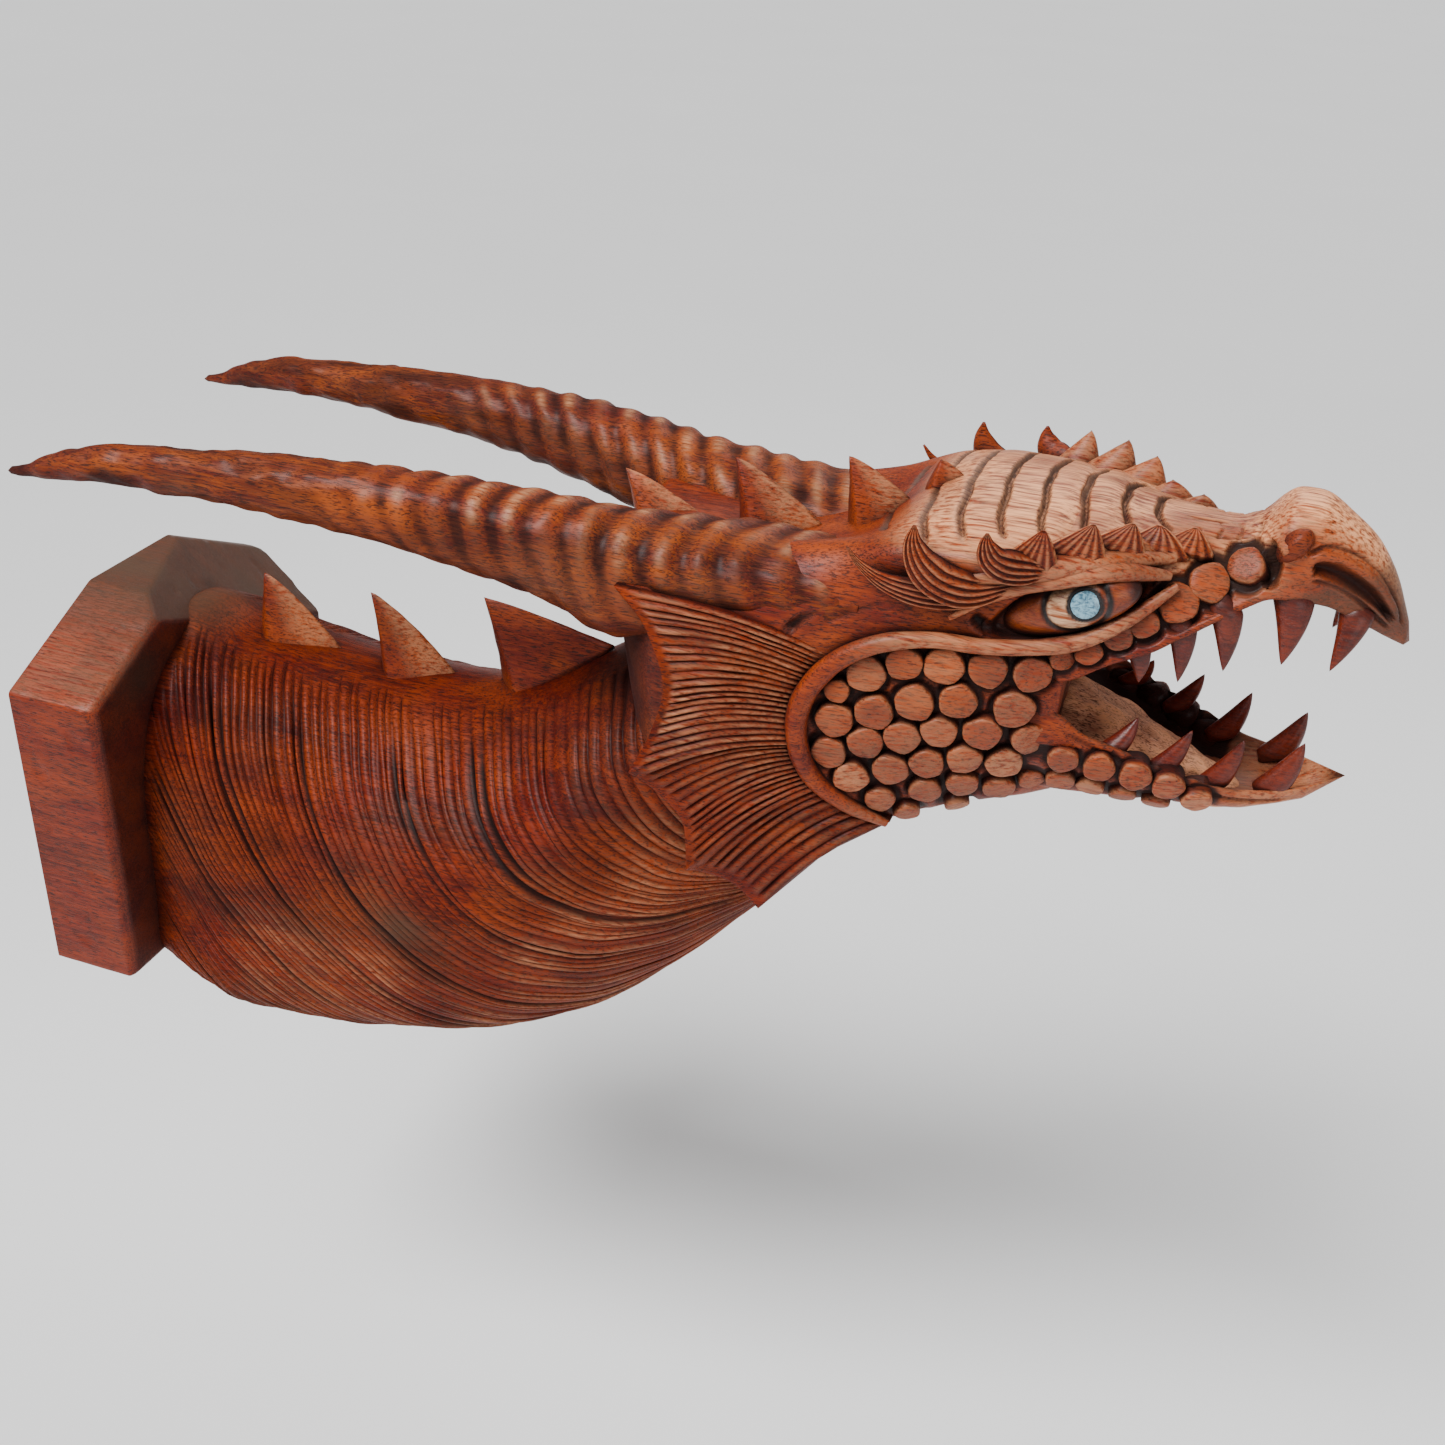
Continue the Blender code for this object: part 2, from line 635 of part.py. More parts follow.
def plate_shape():
    """Chamfered plate with its front edges eased."""
    outline = [(-PLATE_HALF_WIDTH, PLATE_BOTTOM), (PLATE_HALF_WIDTH, PLATE_BOTTOM),
               (PLATE_HALF_WIDTH, PLATE_SHOULDER), (PLATE_TOP_HALF, PLATE_TOP),
               (-PLATE_TOP_HALF, PLATE_TOP), (-PLATE_HALF_WIDTH, PLATE_SHOULDER)]
    rings = []
    for x, inset in ((0.0, 0.0), (PLATE_THICK - PLATE_EDGE, 0.0), (PLATE_THICK, PLATE_EDGE)):
        ring = []
        for y, z in outline:
            middle = (PLATE_TOP + PLATE_BOTTOM) / 2
            ring.append((x, y * (1 - inset / PLATE_HALF_WIDTH),
                         middle + (z - middle) * (1 - inset / (PLATE_TOP - middle))))
        rings.append(ring)
    return rings_to_shape(rings)


def tongue_shape():
    rings = []
    for x, z, wide, tall in TONGUE:
        rings.append([(x, wide * math.cos(math.pi * k / 5), z + tall * math.sin(math.pi * k / 5) - 3)
                      for k in range(10)])
    return rings_to_shape(rings)


def shaped(solid, other, operation, overlapping=False):
    """One solid after adding or cutting another."""
    step = solid.modifiers.new("shape", "BOOLEAN")
    step.operation = operation
    step.solver = "EXACT"
    step.use_self = overlapping
    step.object = other
    graph = bpy.context.evaluated_depsgraph_get()
    mesh = bpy.data.meshes.new_from_object(solid.evaluated_get(graph))
    solid.modifiers.clear()
    old = solid.data
    solid.data = mesh
    bpy.data.meshes.remove(old)
    gone = other.data
    bpy.data.objects.remove(other)
    bpy.data.meshes.remove(gone)
    bm = bmesh.new()
    bm.from_mesh(mesh)
    bmesh.ops.remove_doubles(bm, verts=bm.verts, dist=JOIN)
    bmesh.ops.dissolve_degenerate(bm, edges=bm.edges, dist=JOIN)
    bm.to_mesh(mesh)
    bm.free()
    return solid


def keep_outer_skin(bm):
    """Drop any small closed pocket left inside where carved shapes meet."""
    found = set()
    skins = []
    for start in bm.verts:
        if start in found:
            continue
        skin = [start]
        found.add(start)
        for vert in skin:
            for edge in vert.link_edges:
                other = edge.other_vert(vert)
                if other not in found:
                    found.add(other)
                    skin.append(other)
        skins.append(skin)
    skins.sort(key=len)
    inner = [vert for skin in skins[:-1] for vert in skin]
    bmesh.ops.delete(bm, geom=inner, context="VERTS")


def group(name, items, both_sides=False):
    parts = Parts()
    for verts, faces in items:
        parts.add(verts, faces, both_sides)
    return parts.build(name)


def rim_gap(x, z):
    """Distance and direction from the nearest place on the ridge round the cheek."""
    line = np.array([(p[0], p[2]) for p in RIM_PATH])
    here = np.array((x, z), float)
    best = None
    for a, b in zip(line[:-1], line[1:]):
        t = min(max(np.dot(here - a, b - a) / np.dot(b - a, b - a), 0.0), 1.0)
        off = here - (a + (b - a) * t)
        size = float(np.linalg.norm(off))
        if best is None or size < best[0]:
            best = (size, off / max(size, 0.001))
    return best


def spread_discs():
    """Settle the rows of scales so that none runs into the next or into the ridge."""
    spots = []
    for first, middle, last, spacing, radius in DISC_ROWS:
        spots.extend([x, z, radius] for x, z in row_points(first, middle, last, spacing))
    spots = np.array(spots, float)
    for _ in range(DISC_ROUNDS):
        for i in range(len(spots)):
            for j in range(i + 1, len(spots)):
                gap = spots[j, :2] - spots[i, :2]
                size = float(np.linalg.norm(gap))
                need = spots[i, 2] + spots[j, 2] + DISC_SPACE
                if size < need:
                    push = gap / size * (need - size) * 0.25
                    spots[i, :2] -= push
                    spots[j, :2] += push
            size, away = rim_gap(spots[i, 0], spots[i, 1])
            need = spots[i, 2] + RIM_RADIUS * 0.8
            if size < need:
                spots[i, :2] += away * (need - size) * 0.6
    return spots


def make_discs():
    """The cheek scales, each no wider than its neighbours leave room for."""
    places = []
    for x, z, radius in spread_discs():
        skin = SKULL
        if x > SKULL_END - 1:
            skin = SNOUT if z > 125 else JAW
        y, normal = skin_side(skin, x, z)
        places.append((np.array((x, y, z)), normal, radius))
    items = []
    for i, (centre, normal, radius) in enumerate(places):
        for j, (other, _, other_radius) in enumerate(places):
            if i != j:
                room = np.linalg.norm(centre - other) - DISC_SPACE * 0.5
                radius = min(radius, room * radius / (radius + other_radius))
        items.append(disc(centre, normal, radius, DISC_SIDES, DISC_SUNK, DISC_PROUD, DISC_TAPER))
    return items


def material(name, colour, roughness, coat):
    mat = bpy.data.materials.new(name)
    mat.use_nodes = True
    shader = mat.node_tree.nodes["Principled BSDF"]
    shader.inputs["Base Color"].default_value = (*colour, 1.0)
    shader.inputs["Roughness"].default_value = roughness
    shader.inputs["Coat Weight"].default_value = coat
    return mat


def build():
    for obj in list(bpy.data.objects):
        bpy.data.objects.remove(obj)

    body = group("dragon_carving", [neck_shape()])
    plate = group("plate", [plate_shape()])
    plate = shaped(plate, group("wedge", [wedge_shape()]), "DIFFERENCE")
    body = shaped(body, plate, "UNION")
    body = shaped(body, group("skull", [loft(SKULL, 2, 1)]), "UNION")
    body = shaped(body, group("jaw", [loft(JAW, 2, 1, (JAW[-1][0] + JAW_TIP_AHEAD, 0, JAW_TIP_HEIGHT))]), "UNION")
    body = shaped(body, group("snout", [loft(SNOUT, 2, 1, BEAK_TIP)]), "UNION")
    body = shaped(body, group("tongue", [tongue_shape()]), "UNION")
    body = shaped(body, group("horns", [horn_shape()], True), "UNION")
    body = shaped(body, group("fins", [fin_shape()], True), "UNION")
    rim_radii = [RIM_RADIUS * (0.55 if i in (0, len(RIM_PATH) - 1) else 1.0) for i in range(len(RIM_PATH))]
    body = shaped(body, group("rims", [tube(RIM_PATH, rim_radii, 5)], True), "UNION")
    body = shaped(body, group("eyes", [ellipsoid(EYE_CENTRE, EYE_HALF, EYE_TILT, 7, 8)], True), "UNION")
    lid_radii = [LID_RADIUS * (0.5 if i in (0, len(LID_PATH) - 1) else 1.0) for i in range(len(LID_PATH))]
    body = shaped(body, group("lids", [tube(LID_PATH, lid_radii, 5)], True), "UNION")
    wing = ellipsoid(WING_AT, (WING_RADIUS,) * 3, 0, 5, 7)
    body = shaped(body, group("wings", [wing], True), "UNION")
    body = shaped(body, group("spikes", [spike(*s) for s in SPIKES]), "UNION")
    body = shaped(body, group("tails", [tube(BROW_TAIL, (2.5, 4.4, 4.2, 3.2, 1.2), 6)], True), "UNION")
    body = shaped(body, group("leaves", [leaf(*s) for s in LEAVES[::2]], True), "UNION")
    body = shaped(body, group("more_leaves", [leaf(*s) for s in LEAVES[1::2]], True), "UNION")
    teeth = [fang(*t) for t in UPPER_TEETH + LOWER_TEETH]
    body = shaped(body, group("teeth", teeth, True), "UNION")
    body = shaped(body, group("discs", make_discs(), True), "UNION")
    hollow = ellipsoid(HOLLOW_AT, (HOLLOW_RADIUS,) * 3, 0, 5, 7)
    body = shaped(body, group("hollows", [hollow], True), "DIFFERENCE")
    nostril_radii = [NOSTRIL_RADIUS * (0.6 if i in (0, len(NOSTRIL_PATH) - 1) else 1.0)
                     for i in range(len(NOSTRIL_PATH))]
    body = shaped(body, group("nostrils", [tube(NOSTRIL_PATH, nostril_radii, 5)], True), "DIFFERENCE")
    recess = disc(INLAY_AT, INLAY_NORMAL, INLAY_RADIUS + INLAY_GAP, 16,
                  INLAY_THICK - INLAY_PROUD + INLAY_GAP, 6.0, 1.0)
    body = shaped(body, group("recess", [recess], True), "DIFFERENCE")

    bm = bmesh.new()
    bm.from_mesh(body.data)
    keep_outer_skin(bm)
    bmesh.ops.triangulate(bm, faces=bm.faces)
    bm.to_mesh(body.data)
    bm.free()
    body.data.materials.clear()
    body.data.materials.append(material("carved_wood", (0.34, 0.09, 0.025), 0.38, 0.4))

    inlay = material("eye_inlay", (0.30, 0.48, 0.56), 0.2, 0.6)
    verts, faces = disc(INLAY_AT, INLAY_NORMAL, INLAY_RADIUS, 16,
                        INLAY_THICK - INLAY_PROUD, INLAY_PROUD, 0.9)
    left = Parts()
    left.add(verts, faces)
    left_eye = left.build("eye_inlay_left")
    left_eye.data.materials.append(inlay)
    right = Parts()
    right.add([(v[0], -v[1], v[2]) for v in verts], [tuple(reversed(f)) for f in faces])
    right_eye = right.build("eye_inlay_right")
    right_eye.data.materials.append(inlay)


build()
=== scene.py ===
"""Dragon head wall carving, dressed: fine carving, finish, light and camera.

Sizes are millimetres in the carving's own frame. The wall is the plane x = 0,
+X points out of the wall towards the beak and +Z is up. Meshes are in metres.
"""

from __future__ import annotations

import logging
import math
from collections.abc import Sequence
from dataclasses import dataclass, field
from enum import Enum

import bmesh
import bpy
import numpy as np
from mathutils import Matrix, Vector


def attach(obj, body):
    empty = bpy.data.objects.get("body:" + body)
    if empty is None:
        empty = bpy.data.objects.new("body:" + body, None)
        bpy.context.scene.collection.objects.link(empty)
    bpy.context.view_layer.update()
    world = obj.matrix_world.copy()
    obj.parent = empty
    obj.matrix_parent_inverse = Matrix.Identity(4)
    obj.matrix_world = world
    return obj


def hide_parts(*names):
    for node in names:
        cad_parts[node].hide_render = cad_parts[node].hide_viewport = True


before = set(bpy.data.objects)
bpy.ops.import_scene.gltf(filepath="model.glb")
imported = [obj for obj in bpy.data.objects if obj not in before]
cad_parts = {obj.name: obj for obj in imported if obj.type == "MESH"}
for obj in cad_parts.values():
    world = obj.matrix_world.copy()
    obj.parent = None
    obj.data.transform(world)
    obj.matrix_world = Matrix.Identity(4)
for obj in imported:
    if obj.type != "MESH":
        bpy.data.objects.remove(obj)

log = logging.getLogger("dragon_head")
MM = 0.001
TINY = 1e-9
FAR = 99.0
WELD = 0.000002
# Point layers that the finishes read: shade and stain in hollows, wear and painted highlight, dust and
# painted shade, ink and painted shade
LAYERS = ("hollow", "worn", "dust", "ink")
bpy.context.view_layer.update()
Point = tuple[float, float, float]


class Side(Enum):
    """The two sides of the head, by the sign of y."""

    LEFT = 1.0
    RIGHT = -1.0

    @property
    def flip(self) -> np.ndarray:
        """What a place on the left is multiplied by to bring it to this side."""
        return np.array((1.0, self.value, 1.0))

    @property
    def word(self) -> str:
        """The side as it stands in the names of pieces."""
        return self.name.lower()


class Track:
    """Smooth values along a distance that never overshoot their own points."""

    def __init__(self, knots: Sequence[float], values: Sequence) -> None:
        """Keep the knots and work out the slopes.

        Args:
            knots: Rising distances.
            values: One number or tuple for each knot.
        """
        table = np.asarray(values, float)
        self.knots = np.asarray(knots, float)
        self.shape = table.shape[1:]
        self.values = table.reshape(len(self.knots), -1)
        step = np.diff(self.knots)[:, None]
        rise = np.diff(self.values, axis=0) / step
        self.slopes = np.zeros_like(self.values)
        before, after = rise[:-1], rise[1:]
        one = step[:-1] * 2 + step[1:]
        two = step[:-1] + step[1:] * 2
        with np.errstate(divide="ignore", invalid="ignore"):
            mean = (one + two) / (one / before + two / after)
        self.slopes[1:-1] = np.where(before * after > 0, mean, 0.0)
        self.slopes[0] = rise[0]
        self.slopes[-1] = rise[-1]

    def __call__(self, where: np.ndarray | float) -> np.ndarray:
        """Values at one or many distances.

        Args:
            where: Distances of any array shape.

        Returns:
            An array with the values' own shape after that of the distances.
        """
        x = np.clip(np.asarray(where, float), self.knots[0], self.knots[-1])
        i = np.clip(np.searchsorted(self.knots, x) - 1, 0, len(self.knots) - 2)
        h = (self.knots[i + 1] - self.knots[i])[..., None]
        t = (x - self.knots[i])[..., None] / h
        out = ((1 + 2 * t) * (1 - t) ** 2 * self.values[i] + t * (1 - t) ** 2 * h * self.slopes[i]
               + t * t * (3 - 2 * t) * self.values[i + 1] + t * t * (t - 1) * h * self.slopes[i + 1])
        return out.reshape(x.shape + self.shape)


def smooth(value: np.ndarray, low: float, high: float) -> np.ndarray:
    """A soft step from 0 at low to 1 at high.

    Args:
        value: The numbers that are stepped.
        low: Where the step begins.
        high: Where it ends.

    Returns:
        Numbers from 0 to 1.
    """
    t = np.clip((value - low) / (high - low), 0.0, 1.0)
    return t * t * (3 - 2 * t)


def bump(value: np.ndarray, centre: float, half: float) -> np.ndarray:
    """A round bump of height 1.

    Args:
        value: Places along a line.
        centre: Where the bump is highest.
        half: How far it reaches either side.

    Returns:
        Numbers from 0 to 1.
    """
    t = np.clip(1 - ((value - centre) / half) ** 2, 0.0, 1.0)
    return t * t


def ripple(points: np.ndarray, cell: float | Point, seed: int) -> np.ndarray:
    """Smooth random unevenness, the same on each run.

    Args:
        points: Places in millimetres, three numbers in the last axis.
        cell: Size of the unevenness, one number or one for each axis.
        seed: Which pattern to take.

    Returns:
        Numbers from -1 to 1.
    """
    q = points / np.asarray(cell, float)
    base = np.floor(q).astype(np.int64)
    part = q - base
    part = part * part * (3 - 2 * part)
    total = np.zeros(points.shape[:-1])
    for corner in range(8):
        off = np.array([(corner >> k) & 1 for k in range(3)])
        cellno = base + off
        h = cellno[..., 0] * 73856093 ^ cellno[..., 1] * 19349663 ^ cellno[..., 2] * 83492791 ^ seed * 6542989
        h = (h ^ (h >> 13)) * 1274126177 & 0xFFFFFFFF
        h = (h ^ (h >> 16)) & 0xFFFF
        weight = np.prod(np.where(off == 1, part, 1 - part), axis=-1)
        total += weight * (h / 32767.5 - 1)
    return total


def fibres(points: np.ndarray, seed: int) -> np.ndarray:
    """Unevenness drawn out along the grain, which runs along X."""
    return 0.6 * ripple(points, (38, 5, 5), seed) + 0.4 * ripple(points, (14, 2.2, 2.2), seed + 7)


def curve_through(points: Sequence, per_span: int, closed: bool = False) -> np.ndarray:
    """Points on a smooth curve through the given points.

    Args:
        points: The points passed through.
        per_span: How many points to take between two of them.
        closed: Whether the last point joins the first.

    Returns:
        An array of points, without the first one repeated when closed.
    """
    pts = np.asarray(points, float)
    if closed:
        full = np.concatenate([pts[-1:], pts, pts[:2]])
        spans = len(pts)
    else:
        full = np.concatenate([2 * pts[:1] - pts[1:2], pts, 2 * pts[-1:] - pts[-2:-1]])
        spans = len(pts) - 1
    t = (np.arange(per_span) / per_span)[None, :, None]
    p0, p1, p2, p3 = (full[k:k + spans][:, None] for k in range(4))
    out = 0.5 * (2 * p1 + (p2 - p0) * t + (2 * p0 - 5 * p1 + 4 * p2 - p3) * t * t
                 + (3 * p1 - p0 - 3 * p2 + p3) * t ** 3)
    out = out.reshape(-1, pts.shape[1])
    return out if closed else np.concatenate([out, pts[-1:]])


def even_spacing(line: np.ndarray, count: int) -> np.ndarray:
    """The same line with its points the same distance apart.

    Args:
        line: Points along the line.
        count: How many points to take.

    Returns:
        The new points, with both ends kept.
    """
    steps = np.linalg.norm(np.diff(line, axis=0), axis=1)
    length = np.concatenate([[0.0], np.cumsum(steps)])
    where = np.linspace(0, length[-1], count)
    return np.stack([np.interp(where, length, line[:, k]) for k in range(line.shape[1])], axis=1)


@dataclass(frozen=True)
class Cut:
    """One tool mark along a path: a groove, or a ridge where the depth is negative."""

    path: tuple[Point, ...]
    width: tuple[float, ...]
    depth: float
    sharp: float = 1.0
    run_out: float = 0.12
    ink: float = 0.0

    def apply(self, points: np.ndarray) -> tuple[np.ndarray, np.ndarray]:
        """Depth of the mark at each point, taken on both sides of the head.

        Args:
            points: Places on the surface in millimetres.

        Returns:
            The depth in millimetres and the share of it from 0 to 1.
        """
        line = even_spacing(curve_through(self.path, 12), 60)
        place = np.abs(points * (0, 1, 0)) + points * (1, 0, 1)
        reach = max(self.width)
        inside = np.all((place > line.min(0) - reach) & (place < line.max(0) + reach), axis=-1)
        share = np.zeros(points.shape[:-1])
        if not inside.any():
            return share, share
        near = place[inside]
        gap = np.linalg.norm(near[:, None] - line[None], axis=-1)
        best = gap.argmin(axis=1)
        t = best / (len(line) - 1)
        width = np.interp(t, np.linspace(0, 1, len(self.width)), self.width)
        ends = np.clip(np.minimum(t, 1 - t) / max(self.run_out, 1e-6), 0, 1) if self.run_out else 1.0
        core = np.clip(1 - (gap.min(axis=1) / width) ** 2, 0, 1) ** self.sharp
        share[inside] = core * ends
        return share * self.depth, share


def grid_faces(rows: int, cols: int, base: int = 0) -> list[list[int]]:
    """Four-sided faces between the rows of a grid whose columns close to a ring.

    Args:
        rows: Number of rows.
        cols: Points in each row.
        base: Number of the first point.

    Returns:
        Lists of point numbers.
    """
    row = np.arange(rows - 1)[:, None] * cols + base
    here = np.arange(cols)[None]
    after = (here + 1) % cols
    corners = [row + here, row + after, row + after + cols, row + here + cols]
    return np.stack(corners, axis=-1).reshape(-1, 4).tolist()


def fan_faces(hub: int, first: int, cols: int) -> list[list[int]]:
    """Triangles from one point to a ring of points that starts at another."""
    return [[hub, first + k, first + (k + 1) % cols] for k in range(cols)]


@dataclass
class Skin:
    """A carved surface as a grid of points in millimetres, rows along it and columns round it."""

    points: np.ndarray
    hollow: np.ndarray = field(init=False)
    worn: np.ndarray = field(init=False)
    dust: np.ndarray = field(init=False)
    ink: np.ndarray = field(init=False)

    def __post_init__(self) -> None:
        """Start with nothing painted anywhere: no shade, stain, wear, highlight, dust or ink."""
        blank = np.zeros(self.points.shape[:2])
        self.hollow, self.worn, self.dust, self.ink = (blank.copy() for _ in range(4))

    def normals(self) -> np.ndarray:
        """Outward direction at each grid point."""
        p = self.points
        around = np.roll(p, -1, axis=1) - np.roll(p, 1, axis=1)
        n = np.cross(np.gradient(p, axis=0), around)
        n /= np.maximum(np.linalg.norm(n, axis=-1, keepdims=True), TINY)
        outwards = np.sum(n * (p - p.mean(axis=1, keepdims=True))) >= 0
        return n if outwards else -n

    def mirror(self, side: Side) -> None:
        """Take the surface to its own side of the head."""
        self.points = self.points * side.flip

    def push(self, height: np.ndarray, normals: np.ndarray | None = None) -> None:
        """Move the surface outwards.

        Args:
            height: How far at each point, in millimetres.
            normals: The outward directions, or None for the surface's own.
        """
        n = self.normals() if normals is None else normals
        self.points = self.points + n * height[..., None]

    def carve(self, cuts: Sequence[Cut]) -> None:
        """Cut each mark into the surface and paint shade and stain where it is deep.

        Args:
            cuts: The tool marks.
        """
        n = self.normals()
        drop = np.zeros(self.points.shape[:2])
        for cut in cuts:
            depth, share = cut.apply(self.points)
            drop -= depth
            if cut.depth > 0:
                self.hollow = np.maximum(self.hollow, share * min(cut.depth / 1.2, 1.0))
            if cut.ink:
                self.ink = np.maximum(self.ink, share * cut.ink)
        self.push(drop, n)

    def mesh(self, name: str, finish: Finish, start: Sequence[float] | None = None,
             end: Sequence[float] | None = None, weld: bool = False) -> bpy.types.Object:
        """Make the surface an object that rides on the block.

        Args:
            name: The object's name.
            finish: The finish it takes.
            start: Point that closes the first row, or None for a flat end.
            end: Point that closes the last row, or None for a flat end.
            weld: Whether points that fell together are joined.

        Returns:
            The new object.
        """
        rows, cols = self.points.shape[:2]
        verts = self.points.reshape(-1, 3)
        faces = grid_faces(rows, cols)
        layers = {key: np.broadcast_to(getattr(self, key), (rows, cols)).reshape(-1) for key in LAYERS}
        for row, tip in ((0, start), (rows - 1, end)):
            centre = self.points[row].mean(axis=0) if tip is None else np.asarray(tip)
            first = row * cols
            fan = fan_faces(len(verts), first, cols)
            faces += fan if row else [[hub, after, here] for hub, here, after in fan]
            verts = np.concatenate([verts, centre[None]])
            for key, layer in layers.items():
                layers[key] = np.append(layer, layer[first:first + cols].mean())
        return make_piece(name, verts, faces, finish, layers, weld=weld)


def stand(name: str, data: bpy.types.ID) -> bpy.types.Object:
    """Put a mesh, a light or a camera into the scene.

    Args:
        name: The new object's name.
        data: What it shows.

    Returns:
        The new object.
    """
    obj = bpy.data.objects.new(name, data)
    bpy.context.scene.collection.objects.link(obj)
    return obj


def make_piece(name: str, verts: np.ndarray, faces: list, finish: Finish,
               layers: dict[str, np.ndarray] | None = None, weld: bool = False,
               crease: float | None = None) -> bpy.types.Object:
    """Make a closed mesh object in its place and fasten it to the block.

    Args:
        name: The object's name.
        verts: Points in millimetres.
        faces: Lists of point numbers.
        finish: The finish it takes.
        layers: Named numbers for each point, which the finish reads.
        weld: Whether points that fell together are joined.
        crease: Angle in degrees past which an edge stays crisp, or None.

    Returns:
        The new object, riding on the block.
    """
    mesh = bpy.data.meshes.new(name)
    mesh.from_pydata((np.asarray(verts) * MM).tolist(), [], faces)
    for key, layer in (layers or {}).items():
        item = mesh.attributes.new(key, "FLOAT", "POINT")
        item.data.foreach_set("value", np.ascontiguousarray(layer, np.float32))
    bm = bmesh.new()
    bm.from_mesh(mesh)
    if weld:
        bmesh.ops.remove_doubles(bm, verts=bm.verts, dist=WELD)
    bmesh.ops.recalc_face_normals(bm, faces=bm.faces)
    if bm.calc_volume(signed=True) < 0:
        bmesh.ops.reverse_faces(bm, faces=bm.faces)
    bm.to_mesh(mesh)
    bm.free()
    mesh.shade_smooth()
    if crease is not None:
        mesh.set_sharp_from_angle(angle=math.radians(crease))
    return fasten(stand(name, mesh), finish)


def fasten(obj: bpy.types.Object, finish: Finish) -> bpy.types.Object:
    """Give a piece its finish and let it ride on the block.

    Args:
        obj: The piece.
        finish: The finish it takes.

    Returns:
        The same piece.
    """
    obj.data.materials.clear()
    obj.data.materials.append(finish.material())
    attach(obj, "root")
    log.info("%s: %d faces", obj.name, len(obj.data.polygons))
    return obj


class NodeTree:
    """A node tree with short ways to add and join nodes."""

    def __init__(self, tree: bpy.types.NodeTree) -> None:
        """Keep the tree that the nodes stand in."""
        self.tree = tree

    def add(self, kind: str, inputs: dict | None = None, **settings: object) -> bpy.types.Node:
        """Add a node.

        Args:
            kind: The node's type.
            inputs: Values or sockets for its inputs, by name or number.
            **settings: Its own settings.

        Returns:
            The new node.
        """
        node = self.tree.nodes.new(kind)
        for key, value in settings.items():
            setattr(node, key, value)
        for key, value in (inputs or {}).items():
            if isinstance(value, bpy.types.NodeSocket):
                self.join(value, node.inputs[key])
            else:
                node.inputs[key].default_value = value
        return node

    def join(self, output: bpy.types.NodeSocket, inlet: bpy.types.NodeSocket) -> None:
        """Join an output to an input."""
        self.tree.links.new(output, inlet)


class Sheet(NodeTree):
    """A material's node tree, with the sums and patterns that finishes need."""

    def __init__(self, name: str) -> None:
        """Start a material that holds only its shader and output."""
        self.material = bpy.data.materials.new(name)
        self.material.use_nodes = True
        super().__init__(self.material.node_tree)
        self.shader = self.tree.nodes["Principled BSDF"]

    def set(self, **inputs: object) -> None:
        """Give the shader's inputs, named with _ for a space, a value or a socket."""
        for key, value in inputs.items():
            inlet = self.shader.inputs[key.replace("_", " ")]
            if isinstance(value, bpy.types.NodeSocket):
                self.join(value, inlet)
            else:
                inlet.default_value = value

    def math(self, operation: str, a: object, b: object, clamp: bool = False) -> bpy.types.NodeSocket:
        """The result of one sum on two numbers or sockets."""
        node = self.add("ShaderNodeMath", {0: a, 1: b}, operation=operation, use_clamp=clamp)
        return node.outputs[0]

    def times(self, a: object, b: object, clamp: bool = False) -> bpy.types.NodeSocket:
        """The product of two numbers or sockets."""
        return self.math("MULTIPLY", a, b, clamp)

    def mix(self, share: object, a: object, b: object) -> bpy.types.NodeSocket:
        """A colour between two colours or colour sockets."""
        ends = [end if isinstance(end, bpy.types.NodeSocket) else rgb(*end) for end in (a, b)]
        node = self.add("ShaderNodeMix", {0: share, 6: ends[0], 7: ends[1]}, data_type="RGBA",
                        blend_type="MIX")
        return node.outputs[2]

    def noise(self, where: bpy.types.NodeSocket, stretch: Point, detail: float, rough: float = 0.5,
              twist: float = 0.0) -> bpy.types.NodeSocket:
        """Noise whose frequency along each axis is given in waves per metre."""
        mapping = self.add("ShaderNodeMapping", {"Vector": where, "Scale": stretch})
        node = self.add("ShaderNodeTexNoise", {"Vector": mapping.outputs[0], "Scale": 1.0, "Detail": detail,
                                               "Roughness": rough, "Distortion": twist})
        return node.outputs["Fac"]

    def ramp(self, value: bpy.types.NodeSocket, low: float, high: float) -> bpy.types.NodeSocket:
        """A soft step of a number between two limits."""
        node = self.add("ShaderNodeMapRange", {0: value, 1: low, 2: high}, interpolation_type="SMOOTHSTEP")
        return node.outputs[0]

    def place(self) -> bpy.types.NodeSocket:
        """Where a point lies in its own object."""
        return self.add("ShaderNodeTexCoord").outputs["Object"]

    def layer(self, name: str) -> bpy.types.NodeSocket:
        """A number kept at the mesh's points."""
        return self.add("ShaderNodeAttribute", attribute_name=name).outputs["Fac"]


def rgb(red: float, green: float, blue: float) -> tuple[float, float, float, float]:
    """A colour socket's value."""
    return (red, green, blue, 1.0)


@dataclass(frozen=True)
class Finish:
    """What a piece is made of and how it is finished."""

    name: str
    slot: str = "carved_wood"

    def material(self) -> bpy.types.Material:
        """The finish as a material, which is built once."""
        return bpy.data.materials.get(self.name) or self.mixed(Sheet(self.name))

    def mixed(self, sheet: Sheet) -> bpy.types.Material:
        """Build the finish on a new material's nodes."""
        raise NotImplementedError


